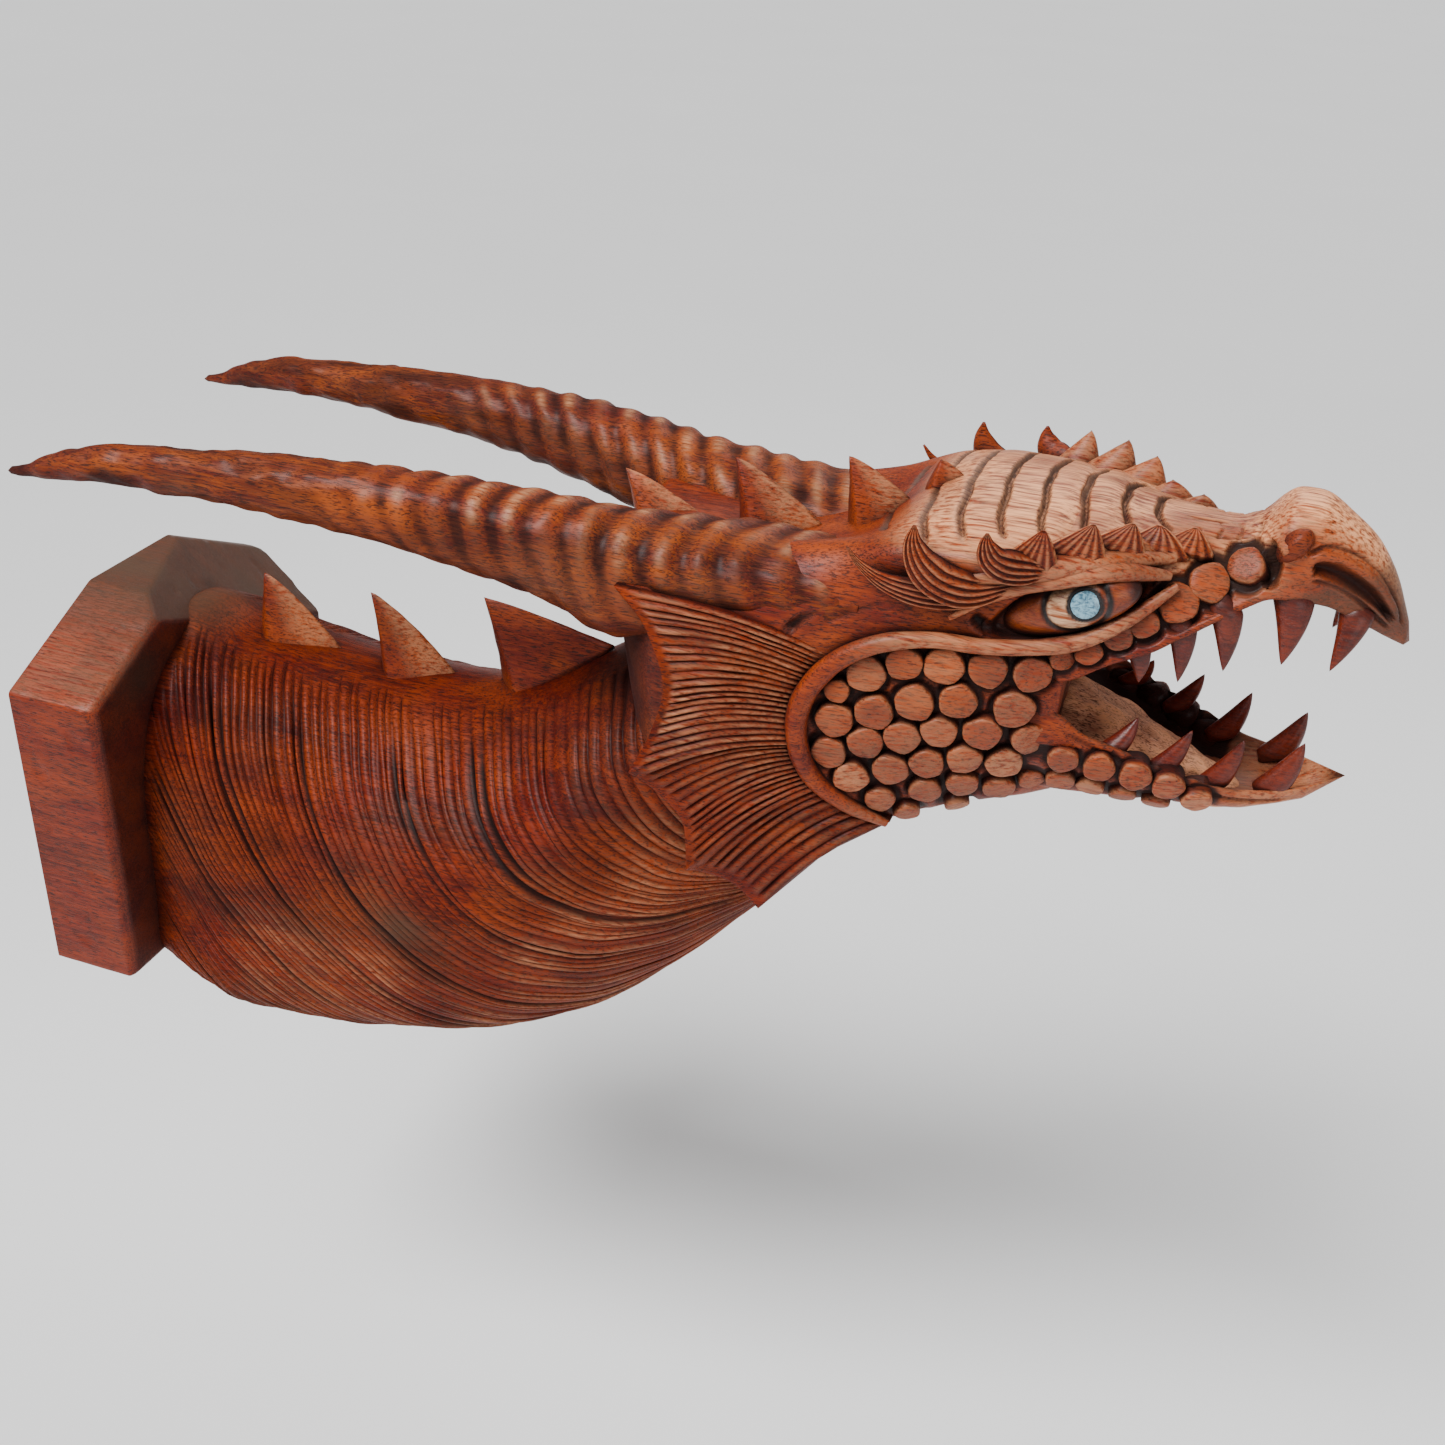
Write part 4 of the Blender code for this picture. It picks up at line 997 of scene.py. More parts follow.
@dataclass
class Head:
    """Skull, upper jaw with its hooked beak, lower jaw and tongue."""

    beak_tip: Point = (500.5, 0.0, 149.0)
    jaw_tip: Point = (493.0, 0.0, 96.0)
    boss_place: Point = (458.6, 17.6, 181.0)
    boss_size: Point = (4.6, 4.6, 6.2)
    brow_lines: tuple[Cut, ...] = (
        Cut(((352, 48.5, 153), (368, 46.5, 161), (388, 43, 168), (408, 38, 173), (424, 28, 172)),
            (2.0,), 1.2),
        Cut(((341, 49.5, 149), (350, 49, 146), (362, 47, 141), (371, 45, 141)), (2.0,), 1.6),
        Cut(((366, 44.5, 149), (372, 44, 145.4), (379, 43.5, 143.6)), (2.2, 3.0, 1.4), 2.8, ink=1.0),
        Cut(((318, 51, 140), (330, 51, 146), (340, 50, 150)), (2.4,), 1.4),
        Cut(((387, 45.5, 169.5), (379, 45.5, 161), (370, 45.5, 151)), (1.3,), 1.3),
        Cut(((306, 53, 133), (314, 53, 141), (326, 52, 147), (336, 51, 152)), (2.6, 2.2, 1.4), 2.6, ink=0.6),
    )
    nostril: tuple[Cut, ...] = (
        Cut(((465.5, 20, 175), (470, 18.5, 175), (477, 15.8, 172), (484.4, 12, 167), (489, 9.5, 162.5),
             (493, 7.8, 158)), (2.2, 3.3, 3.1, 2.6, 1.9, 1.1), 4.2, 0.6, 0.05),
        Cut(((463, 20, 176), (467, 18.5, 179.6), (475, 15.5, 178), (484, 12.5, 172.8), (491, 8.7, 164.5),
             (495, 6.5, 157.5)), (1.5,), -1.0),
        Cut(((462.8, 19.4, 179.6), (469, 16.6, 182.5), (478, 13, 180), (486, 10, 174.4), (492, 7, 166),
             (496.4, 5, 156.4)), (1.0,), 1.1, 0.8, 0.05),
        Cut(((466, 19.9, 171.3), (473, 17.7, 169.6), (480.4, 14.6, 165.6), (487, 11, 160), (493, 7.9, 154.6)),
            (1.0,), 1.0, 0.8, 0.05),
        Cut(((449.5, 17, 181.5), (452.4, 19.3, 176.5), (453.6, 21, 171.5), (455, 21.5, 167)),
            (2.6, 3.6, 3.6, 2.0), 5.2, 0.7, 0.08, ink=0.45),
        Cut(((455, 17.5, 184), (457, 18.8, 180.5), (459, 19.6, 176)), (5.6,), -3.2, 1.0, 0.4),
        Cut(((414, 32, 166.5), (419, 28.8, 166.3), (423, 27, 168)), (2.0, 3.4, 1.6), 2.6, ink=1.0),
        Cut(((428, 31, 148), (440, 27.8, 156), (452, 23.4, 161.6), (464, 20, 163), (474, 16.4, 162)),
            (1.6,), -0.9),
    )
    snout_tiles: tuple[Cut, ...] = (
        Cut(((424, 5, 180), (436, 4.5, 180), (450, 5, 184)), (0.8,), 0.7),
        Cut(((424, 13, 177.5), (436, 11.5, 177), (448, 11, 180)), (0.8,), 0.8),
        Cut(((429, 4, 180.5), (430, 9, 179.5), (429, 14, 176.5)), (0.7,), 0.7),
        Cut(((435, 4, 180), (436.5, 8, 179.3), (435.5, 12.5, 176.5)), (0.7,), 0.7),
        Cut(((441, 4, 180.5), (442.5, 8, 179.5), (441.5, 12, 177)), (0.7,), 0.7),
        Cut(((446.5, 4, 182), (448, 8, 182), (447, 12, 180)), (0.7,), 0.7),
    )
    jaw_lip: tuple[Cut, ...] = (
        Cut(((396, 37.6, 113), (410, 34, 105), (425, 30.5, 98.5), (440, 26.6, 93.5), (455, 21.5, 89.5),
             (468, 15.6, 88.5), (480, 9.2, 90.5)), (1.5,), 1.0),
        Cut(((396, 34, 114.5), (410, 30, 106.5), (425, 26.5, 100.5), (440, 22.6, 96), (455, 18, 92.5),
             (468, 12.5, 92)), (1.2,), 0.8),
    )

    def build(self) -> list[bpy.types.Object]:
        """Carve the four parts of the head.

        Returns:
            The skull, the upper jaw, the lower jaw, the tongue and two knobs.
        """
        return [self.skull(), self.snout(), self.jaw(), self.tongue()] + [self.boss(side) for side in Side]

    def boss(self, side: Side) -> bpy.types.Object:
        """Carve the dark knob between the last scale and the nostril.

        Args:
            side: Which side of the beak.

        Returns:
            The knob.
        """
        turn = np.linspace(0, 2 * math.pi, 37)[None, :-1]
        rise = np.linspace(-0.48 * math.pi, 0.48 * math.pi, 22)[:, None]
        x, y, z = self.boss_size
        upright = z * np.cos(rise) * np.sin(turn)
        ring = np.stack([x * np.cos(rise) * np.cos(turn) + 0.35 * upright,
                         y * np.sin(rise) + 0 * turn, upright], axis=-1)
        skin = Skin(ring + self.boss_place)
        skin.push(0.35 * ripple(skin.points, 4, 141))
        skin.hollow = 0.30 + 0.45 * smooth(-ring[..., 0], 0.5, 4.5)
        pole = np.array((0, y, 0))
        skin.mirror(side)
        return skin.mesh(f"nostril_boss_{side.word}", BODY, start=(self.boss_place - pole) * side.flip,
                         end=(self.boss_place + pole) * side.flip)

    def skull(self) -> bpy.types.Object:
        """Crown with its bands, brow, eye socket and cheek, with shade and highlights painted on."""
        grid = lofted(SKULL_SECTIONS, 0.62, 284)
        narrow = 0.45 + 0.55 * smooth(grid[..., 0], 226, 262)
        high = grid[..., 2]
        grid[..., 1] *= np.where(high < 134, narrow, np.maximum(narrow, smooth(high, 134, 142)))
        shallow = 0.12 + 0.88 * smooth(grid[..., 0], 226, 262)
        grid[..., 2] = np.where(high < 136, 136 + (high - 136) * shallow, high)
        skin = Skin(grid)
        base = skin.points
        drop, edge, bevel = crown_bands(base)
        cheek = self.scale_field(base)
        socket, rim = eye_socket(base)
        skin.push(drop - 1.5 * cheek + 0.30 * ripple(base, 14, 51) + 0.14 * fibres(base, 52) - 5.0 * socket)
        skin.carve(self.brow_lines)
        # Painted shadow in the band slits, and painted shade in the gaps between the cheek scales
        skin.hollow = np.clip(np.maximum(skin.hollow, edge) + cheek, 0, 1)
        # Ink and painted shade: a dark ring round the eye's almond and in the gaps between the scales
        skin.ink = np.maximum(skin.ink, np.maximum(0.8 * rim, 0.55 * cheek))
        # Painted shade: the underside of the skull, where it runs into the neck, is darkened
        rear = 1 - smooth(base[..., 0], 250, 272)
        skin.hollow = np.maximum(skin.hollow, 0.9 * rear * (base[..., 2] < 138))
        # Painted shading: the bevels of the bands are greyed
        skin.dust = 0.85 * bevel
        # Painted highlight: the top of the crown is pale where the light falls
        top = smooth(base[..., 2], 166, 176) * smooth(base[..., 0], 320, 350)
        skin.worn = np.clip(0.9 * top * (0.8 + 0.4 * ripple(base, 18, 53)), 0, 1)
        return skin.mesh("skull", BODY)

    def scale_field(self, points: np.ndarray) -> np.ndarray:
        """Where the cheek is sunk round its scales.

        Args:
            points: Places on the skin in millimetres.

        Returns:
            The sunk share, from 0 to 1.
        """
        gap = np.full(points.shape[:2], FAR)
        for x, z, radius in CHEEK.spots():
            gap = np.minimum(gap, np.hypot(points[..., 0] - x, points[..., 2] - z) - radius)
        return (1 - smooth(gap, 0.6, 2.6)) * (np.abs(points[..., 1]) > 12)

    def snout(self) -> bpy.types.Object:
        """Upper jaw, tiled bridge, nostrils and hooked beak."""
        skin = Skin(softened(lofted(SNOUT_SECTIONS, 0.55, 260), 26))
        base = skin.points
        drop, edge, bevel = crown_bands(base)
        cheek = self.scale_field(base)
        socket, rim = eye_socket(base)
        skin.push(drop - 1.2 * cheek + 0.22 * ripple(base, 9, 61) + 0.12 * fibres(base, 62) - 4.0 * socket)
        skin.carve(self.nostril + self.snout_tiles)
        # Painted shadow in the band slits, and painted shade in the gaps between the scales
        skin.hollow = np.clip(np.maximum(skin.hollow, edge) + cheek, 0, 1)
        skin.ink = np.maximum(skin.ink, np.maximum(0.8 * rim, 0.55 * cheek))
        # Painted highlight: the beak's ridge and the bridge are pale where the light falls on top
        beak = smooth(base[..., 0], 450, 462)
        top = smooth(base[..., 2], 160, 178)
        ridge = smooth(-np.abs(base[..., 1]) + 0.5 * (base[..., 2] - 165), -10, 4)
        bridge = 0.8 * top * (1 - beak) * (0.7 + 0.5 * ripple(base, 8, 63))
        skin.worn = np.clip(beak * (0.06 + 0.94 * ridge) + bridge, 0, 1)
        # The underside of the upper jaw is greyed, and the bevels of the bands are greyed as painted shading
        under = smooth(-base[..., 2] + 0.42 * (base[..., 0] - 386), -136, -130) * (np.abs(base[..., 1]) < 30)
        skin.dust = np.maximum(0.7 * under, 0.85 * bevel)
        return skin.mesh("upper_jaw_and_beak", BODY, end=self.beak_tip)

    def jaw(self) -> bpy.types.Object:
        """Lower jaw with its lip."""
        skin = Skin(lofted(JAW_SECTIONS, 0.7, 200))
        base = skin.points
        cheek = self.scale_field(base) * (base[..., 2] < 104)
        skin.push(-0.8 * cheek + 0.22 * ripple(base, 9, 71) + 0.12 * fibres(base, 72))
        skin.carve(self.jaw_lip)
        # Painted shade in the gaps between the scales
        skin.hollow = np.clip(skin.hollow + cheek, 0, 1)
        skin.ink = np.maximum(skin.ink, 0.45 * cheek)
        inner = smooth(skin.normals()[..., 2], 0.2, 0.7)
        skin.dust = 0.55 * inner * (1 - smooth(base[..., 0], 455, 480))
        skin.worn = 0.5 * smooth(base[..., 0], 440, 480) * (0.7 + 0.4 * ripple(base, 8, 73))
        return skin.mesh("lower_jaw", BODY, end=self.jaw_tip)

    def tongue(self) -> bpy.types.Object:
        """Rough tongue that fills the lower jaw."""
        shape = Track([s[0] for s in TONGUE_SECTIONS], [s[1:] for s in TONGUE_SECTIONS])
        columns = 110
        turn = np.linspace(0, 2 * math.pi, columns + 1)[:-1]
        across = np.sign(np.cos(turn)) * np.abs(np.cos(turn)) ** 0.8
        grid = []
        for x in np.arange(388, 463.1, 0.8):
            z, wide, tall = shape(x)
            grid.append(np.column_stack([np.full(columns, x), wide * across, z - 5 + tall * np.sin(turn)]))
        skin = Skin(np.array(grid))
        base = skin.points
        rough = 0.9 * ripple(base, (12, 5, 5), 81) + 0.5 * ripple(base, (6, 2.2, 2.2), 82)
        rough = rough + 0.3 * fibres(base, 83)
        skin.push(rough)
        skin.hollow = np.clip(-0.35 * rough, 0, 0.5)
        skin.worn = 0.5 * smooth(rough, -0.2, 0.7)
        return skin.mesh("tongue", MOUTH)


@dataclass
class Horns:
    """Two horns swept back over the neck, ringed near the root."""

    tip: Point = (1.5, 61.5, 139.5)
    stations: tuple = (
        (4, 141.5, 139, 61.5, 1.2), (12, 144.5, 139, 61.5, 2.8), (26, 150.5, 140.5, 60.5, 5.0),
        (48, 156.5, 142, 59, 7.0), (80, 160, 142.5, 57, 8.6), (104, 162, 141.5, 55, 10.0),
        (137, 164, 139.5, 53, 11.5), (163, 164.5, 137, 51, 12.8), (182, 164.5, 133.5, 49, 14.0),
        (200, 164, 130, 47, 15.0), (222, 162.5, 124, 44, 16.5), (243, 160.5, 115, 40, 19.0),
        (291, 159, 128, 31, 23.0), (330, 156, 133, 27, 22.0),
    )
    ring_first: float = 118.0
    ring_pitch: float = 13.5
    step: float = 0.95
    columns: int = 80
    seed: int = 5

    def build(self, side: Side) -> bpy.types.Object:
        """Carve one horn.

        Args:
            side: Which horn.

        Returns:
            The horn.
        """
        table = np.array(self.stations, float)
        shape = Track(table[:, 0], table[:, 1:])
        xs = np.arange(table[0, 0], table[-1, 0] + 0.1, self.step)
        turn = np.linspace(0, 2 * math.pi, self.columns + 1)[:-1]
        top, bottom, middle, wide = shape(xs).T
        s, c = np.sin(turn)[None], np.cos(turn)[None]
        y = middle[:, None] + wide[:, None] * np.sign(s) * np.abs(s) ** 0.92
        z = (top + bottom)[:, None] / 2 + (top - bottom)[:, None] / 2 * np.sign(c) * np.abs(c) ** 0.92
        x = np.broadcast_to(xs[:, None], y.shape)
        base = np.stack([x, y, z], axis=-1)
        skin = Skin(base)
        lean = x + 7 * c + 5.0 * s + 2.0 * ripple(base, 22, self.seed)
        phase = (lean - self.ring_first) / self.ring_pitch
        ring = phase - np.floor(phase)
        rib = (np.sin(math.pi * np.clip(ring / 0.55, 0, 1)) ** 1.1
               - 0.8 * np.sin(math.pi * np.clip((ring - 0.55) / 0.45, 0, 1)) ** 0.8)
        strong = smooth(x, 105, 190) * (1 - 0.25 * smooth(x, 270, 320)) * (0.55 + 0.45 * smooth(c, -0.7, 0.6))
        chips = ripple(base, (7, 4, 4), self.seed + 1)
        skin.push(0.62 * rib * strong * (1 + 0.7 * ripple(base, (16, 12, 9), 94))
                  + 0.80 * chips * (1 - 0.5 * strong) + 0.25 * ripple(base, 12, 93)
                  + 0.15 * fibres(base, self.seed + 2))
        # Painted shade in the ring grooves
        skin.hollow = np.clip(-rib * strong * 1.1, 0, 0.9)
        upper = smooth(c, 0.1, 0.9)
        patch = smooth(ripple(base, (15, 9, 9), self.seed + 3), -0.25, 0.45)
        stain = smooth(ripple(base, (26, 7, 7), self.seed + 4), 0.0, 0.7)
        skin.hollow = np.clip(skin.hollow * (0.6 + 0.4 * patch) + 0.62 * stain * (1 - 0.5 * strong)
                              + 0.20 * (1 - strong), 0, 0.9)
        # Wear and painted highlight: the ring crests on the upper side are pale where the light falls
        skin.worn = np.clip(strong * np.clip(rib, 0, 1) ** 2 * (0.10 + 0.75 * upper * patch), 0, 0.75)
        skin.dust = 0.35 * (1 - upper) * smooth(ripple(base, 20, 95), -0.1, 0.6)
        skin.mirror(side)
        return skin.mesh(f"horn_{side.word}", HORN, start=self.tip * side.flip)


@dataclass
class Fins:
    """Fan-shaped fins behind the cheeks, fluted along their rays."""

    lobes: tuple = (
        ((0.00, 249, 62, 143), (0.10, 262, 67, 131), (0.25, 270, 71, 110), (0.36, 267, 72, 95),
         (0.45, 261, 74, 80)),
        ((0.45, 261, 74, 80), (0.54, 271, 72, 70), (0.65, 279, 68, 56), (0.75, 280, 64, 38)),
        ((0.75, 280, 64, 38), (0.87, 294, 60, 32), (1.00, 305, 53, 20)),
    )
    rim: tuple = ((0.00, 323, 50, 128), (0.20, 316, 52.5, 114), (0.45, 315, 52.5, 94),
                  (0.75, 323, 48.5, 77), (1.00, 347, 39, 61))
    strokes: tuple[int, ...] = (20, 12, 8)
    profile: tuple = ((0.0, -1.0), (0.16, 0.1), (0.4, 0.9), (0.66, 1.0), (0.88, 0.4))
    columns: int = 72
    edge_thick: float = 3.2
    root_thick: float = 18.0
    depth: float = 2.0
    seed: int = 23

    def build(self, side: Side) -> bpy.types.Object:
        """Carve one fin.

        Args:
            side: Which fin.

        Returns:
            The fin.
        """
        rng = np.random.default_rng(self.seed)
        rim = Track([p[0] for p in self.rim], [p[1:] for p in self.rim])
        u = np.linspace(0, 1, self.columns)
        rows, lift, power, web = [], [], [], []
        for number, (lobe, count) in enumerate(zip(self.lobes, self.strokes)):
            edge = Track([p[0] for p in lobe], [p[1:] for p in lobe])
            low, high = lobe[0][0], lobe[-1][0]
            widths = rng.uniform(0.75, 1.25, count)
            cuts = np.concatenate([[0], np.cumsum(widths)]) / widths.sum()
            for i in range(count):
                for share, tall in self.profile:
                    t = cuts[i] + (cuts[i + 1] - cuts[i]) * share
                    rows.append((edge(low + (high - low) * t), rim(low + (high - low) * t)))
                    lift.append(tall)
                    power.append(0.7 + 0.5 * rng.random() if share == 0 else power[-1])
                    web.append((t, number))
            if number == len(self.lobes) - 1:
                rows.append((edge(high), rim(high)))
                lift.append(0.3)
                power.append(0.5)
                web.append((1.0, number))
        a = np.array([r[0] for r in rows])[:, None]
        b = np.array([r[1] for r in rows])[:, None]
        lift, power = np.array(lift)[:, None], np.array(power)[:, None]
        t = np.array([w[0] for w in web])[:, None]
        which = np.array([w[1] for w in web])[:, None]
        uu = u[None]
        v = np.linspace(0, 1, len(rows))[:, None]
        face = a + (b - a) * uu[..., None]
        arch = np.sin(math.pi * uu)
        face[..., 2] += (4 + 3 * v) * arch
        face[..., 1] += (1.5 + 2.5 * v) * arch
        sag = -3.0 * np.sin(math.pi * t) * (1 - 0.5 * uu)
        sag = sag + 1.2 * bump(t, 0.0, 0.10) * (which > 0) * (1 - uu * 0.6)
        fade = smooth(uu, 0.035, 0.10) * (1 - 0.5 * smooth(uu, 0.93, 1.0))
        where = np.stack([v * 60 + 0 * uu, uu * 6 + 0 * v, 0 * uu * v], axis=-1)
        fade = fade * (0.75 + 0.5 * ripple(where, 1.0, 9))
        tall = lift * self.depth * 0.5 * power * fade + sag + 0.25 * ripple(face, 10, 97)
        face[..., 1] += tall
        thick = self.edge_thick + (self.root_thick - self.edge_thick) * uu ** 1.3
        back = face.copy()
        back[..., 1] = face[..., 1] - tall - thick + 0.5 * lift * 0.3 * fade
        grid = np.concatenate([face, back[:, ::-1]], axis=1)
        skin = Skin(grid)
        cut = np.clip((0.6 - lift) / 1.1, 0, 1) * fade * np.clip(power, 0, 1)
        crest = np.clip(lift, 0, 1) * fade
        rear = np.zeros_like(cut)
        # Painted shade in the flutes, and on the fin's back face
        skin.hollow = np.concatenate([np.clip(cut * 0.95, 0, 1), (rear + 0.3)[:, ::-1]], axis=1)
        rubbed = 0.28 + 0.55 * smooth(face[..., 2], 60, 105)
        worn = np.clip(crest * rubbed * (0.8 + 0.5 * ripple(face, 25, 98)), 0, 0.9)
        skin.worn = np.concatenate([worn, rear], axis=1)
        skin.mirror(side)
        return skin.mesh(f"fin_{side.word}", MANE)


@dataclass
class Spikes:
    """Thorns on the middle line: three on the neck and the crest behind the crown."""

    thorns: tuple = (
        ((67, 85), (63, 50), (106, 52), 11), ((117, 86.5), (121, 50), (160, 52), 11),
        ((168, 95), (176, 54), (224, 86), 11), ((227, 159.5), (231, 140), (266, 142), 8),
        ((269, 171), (272, 142), (308, 147), 10), ((310, 178.5), (312, 148), (340, 162), 9),
        ((342, 183), (337, 168), (356, 174), 5),
    )
    outline: tuple = ((0.0, 0.0), (0.03, 0.22), (0.1, 0.62), (0.2, 0.98), (0.24, 1.0), (0.3, 0.97),
                      (0.42, 0.84), (0.56, 0.66), (0.7, 0.46), (0.84, 0.25), (0.94, 0.1), (1.0, 0.0))
    fresh: int = 2
    rows: int = 44

    def build(self) -> list[bpy.types.Object]:
        """Carve every thorn.

        Returns:
            The thorns, from the wall forwards.
        """
        out = []
        for number, (tip, back, front, half) in enumerate(self.thorns):
            h = np.linspace(-0.15, 0.985, self.rows)
            g = np.clip(h, 0, 1)
            x0 = back[0] + (tip[0] - back[0]) * g ** 1.6
            x1 = tip[0] + (front[0] - tip[0]) * (1 - g) ** 0.72
            z0 = back[1] + (tip[1] - back[1]) * h
            z1 = front[1] + (tip[1] - front[1]) * h
            t = half * (1 - g) ** 0.75
            share, wide = np.array(self.outline).T
            share = np.concatenate([share, share[-2:0:-1]])
            wide = np.concatenate([-wide, wide[-2:0:-1]])
            x = x0[:, None] + (x1 - x0)[:, None] * share[None]
            z = z0[:, None] + (z1 - z0)[:, None] * share[None]
            y = t[:, None] * wide[None]
            base = np.stack([x, y, z], axis=-1)
            skin = Skin(base)
            skin.push(0.25 * ripple(base, 6, 101 + number) + 0.15 * fibres(base, 111 + number))
            # Painted shade: each thorn's back edge is darkened
            dark = smooth(-share[None] + 0 * x, -0.2, -0.05)
            skin.hollow = 0.55 * dark * (1 - 0.4 * g[:, None])
            skin.worn = 0.30 * smooth(share[None] + 0 * x, 0.35, 0.8) * (number != self.fresh)
            out.append(skin.mesh(f"thorn_{number + 1}", BODY, end=(tip[0], 0, tip[1])))
        return out


@dataclass
class BrowLeaves:
    """Ribbed pointed leaves along each brow, and the long one behind the eye."""

    leaves: tuple = (
        ((428, 16, 180.5), 417, 434, 174.5, 18.5), ((385, 50, 184.5), 373, 390, 171, 45),
        ((399, 42, 186), 385, 403, 175, 39), ((410, 33, 185), 396, 414, 176, 31),
        ((417, 22, 181.5), 406, 427, 174, 22),
    )
    swept: tuple = (
        (((346, 53, 180), (346.5, 53.5, 174), (350, 53, 167.5), (357, 51.5, 162), (367, 49, 160),
          (378, 46.5, 163)), (0.5, 4.6, 6.8, 6.9, 5.0, 2.0)),
        (((369, 54, 182), (369.5, 54, 178), (372, 52.8, 173.5), (378, 50, 170.5), (388, 46.5, 170)),
         (0.5, 4.4, 6.1, 5.2, 2.0)),
    )
    tail: tuple = ((380, 43, 164), (368, 46, 158.5), (357, 48, 156), (347, 49.5, 156), (337, 51, 158.5),
                   (329, 52, 163.5), (325, 52, 168))
    tail_half: tuple = (2.0, 4.2, 5.2, 5.0, 3.8, 2.0, 0.4)
    ribs: int = 6
    rows: int = 26
    columns: int = 64
    swept_rows: int = 48
    swept_columns: int = 80

    def build(self, side: Side) -> list[bpy.types.Object]:
        """Carve the leaves of one brow.

        Args:
            side: Which brow.

        Returns:
            The leaves and the long one behind the eye.
        """
        out = [self.leaf(n + 3, leaf, side) for n, leaf in enumerate(self.leaves)]
        for number, (path, half) in enumerate(self.swept):
            out.append(self.swept_leaf(f"brow_leaf_{side.word}_{number + 1}", path, half, side))
        out.append(self.swept_leaf(f"long_leaf_{side.word}", self.tail, self.tail_half, side))
        return out

    def leaf(self, number: int, leaf: tuple, side: Side) -> bpy.types.Object:
        """One leaf: a full blade whose outer face is ribbed towards its tip.

        Args:
            number: The leaf's number.
            leaf: Its tip, and the back, front, height and reach of its root.
            side: Which brow.

        Returns:
            The leaf.
        """
        tip, back, front, base, out = leaf
        h = np.linspace(-0.45, 0.97, self.rows)[:, None]
        g = np.clip(h, 0, 1)
        x0 = tip[0] + (back - 1.5 - tip[0]) * (1 - g) ** 0.95
        x1 = tip[0] + (front + 1.5 - tip[0]) * (1 - g) ** 0.62
        y = out + (tip[1] - out) * g - 5.0 * np.clip(-h, 0, 1)
        z = base + (tip[2] - base) * h
        t = 5.2 * (1 - g) ** 0.8
        turn = np.linspace(0, 2 * math.pi, self.columns + 1)[None, :-1]
        across = (1 - np.cos(turn)) / 2
        bulge = np.sin(turn)
        ribs = np.cos(across * 2 * math.pi * self.ribs) * (bulge > 0)
        x = x0 + (x1 - x0) * across
        dip = -(across - 0.5) ** 2 * 6 * (1 - g)
        yy = y - 1 + t * np.sign(bulge) * np.abs(bulge) ** 0.8
        yy = yy + 0.32 * ribs * (1 - g) ** 0.4 * np.abs(bulge) ** 0.4
        skin = Skin(np.stack([x, yy, z + dip + 0 * x], axis=-1))
        # Painted shade in the rib grooves
        skin.hollow = np.clip(-ribs * 0.8, 0, 1) * (1 - 0.3 * g)
        skin.worn = 0.28 * np.clip(ribs, 0, 1) + 0.3 * (bulge < 0.2)
        skin.mirror(side)
        return skin.mesh(f"brow_leaf_{side.word}_{number}", BODY, end=tip * side.flip)

    def swept_leaf(self, name: str, path: tuple, halves: tuple, side: Side) -> bpy.types.Object:
        """A leaf swept along its own curve, ribbed along its length.

        Args:
            name: The leaf's name.
            path: Points along its middle.
            halves: Half widths at even steps along it.
            side: Which brow.

        Returns:
            The leaf.
        """
        line = even_spacing(curve_through(path, 12), self.swept_rows)
        half = Track(np.linspace(0, 1, len(halves)), halves)(np.linspace(0, 1, self.swept_rows))
        ahead = np.gradient(line, axis=0)
        ahead /= np.linalg.norm(ahead, axis=1, keepdims=True)
        out = np.array((0, 1, 0)) - ahead * ahead[:, 1:2]
        out /= np.linalg.norm(out, axis=1, keepdims=True)
        over = np.cross(ahead, out)
        turn = np.linspace(0, 2 * math.pi, self.swept_columns + 1)[:-1]
        across = np.cos(turn)
        ribs = np.cos(across * math.pi * (self.ribs - 1)) * (np.sin(turn) > -0.2)
        thick = 0.55 * np.sin(turn) + 0.12 * ribs * (np.sin(turn) > 0)
        shape = across[None, :, None] * over[:, None] + thick[None, :, None] * out[:, None]
        ring = half[:, None, None] * shape
        skin = Skin(line[:, None] + ring)
        # Painted shade in the rib grooves
        skin.hollow = np.clip(-ribs * 0.95, 0, 1)[None]
        skin.worn = 0.28 * np.clip(ribs, 0, 1)[None]
        skin.mirror(side)
        return skin.mesh(name, BODY)


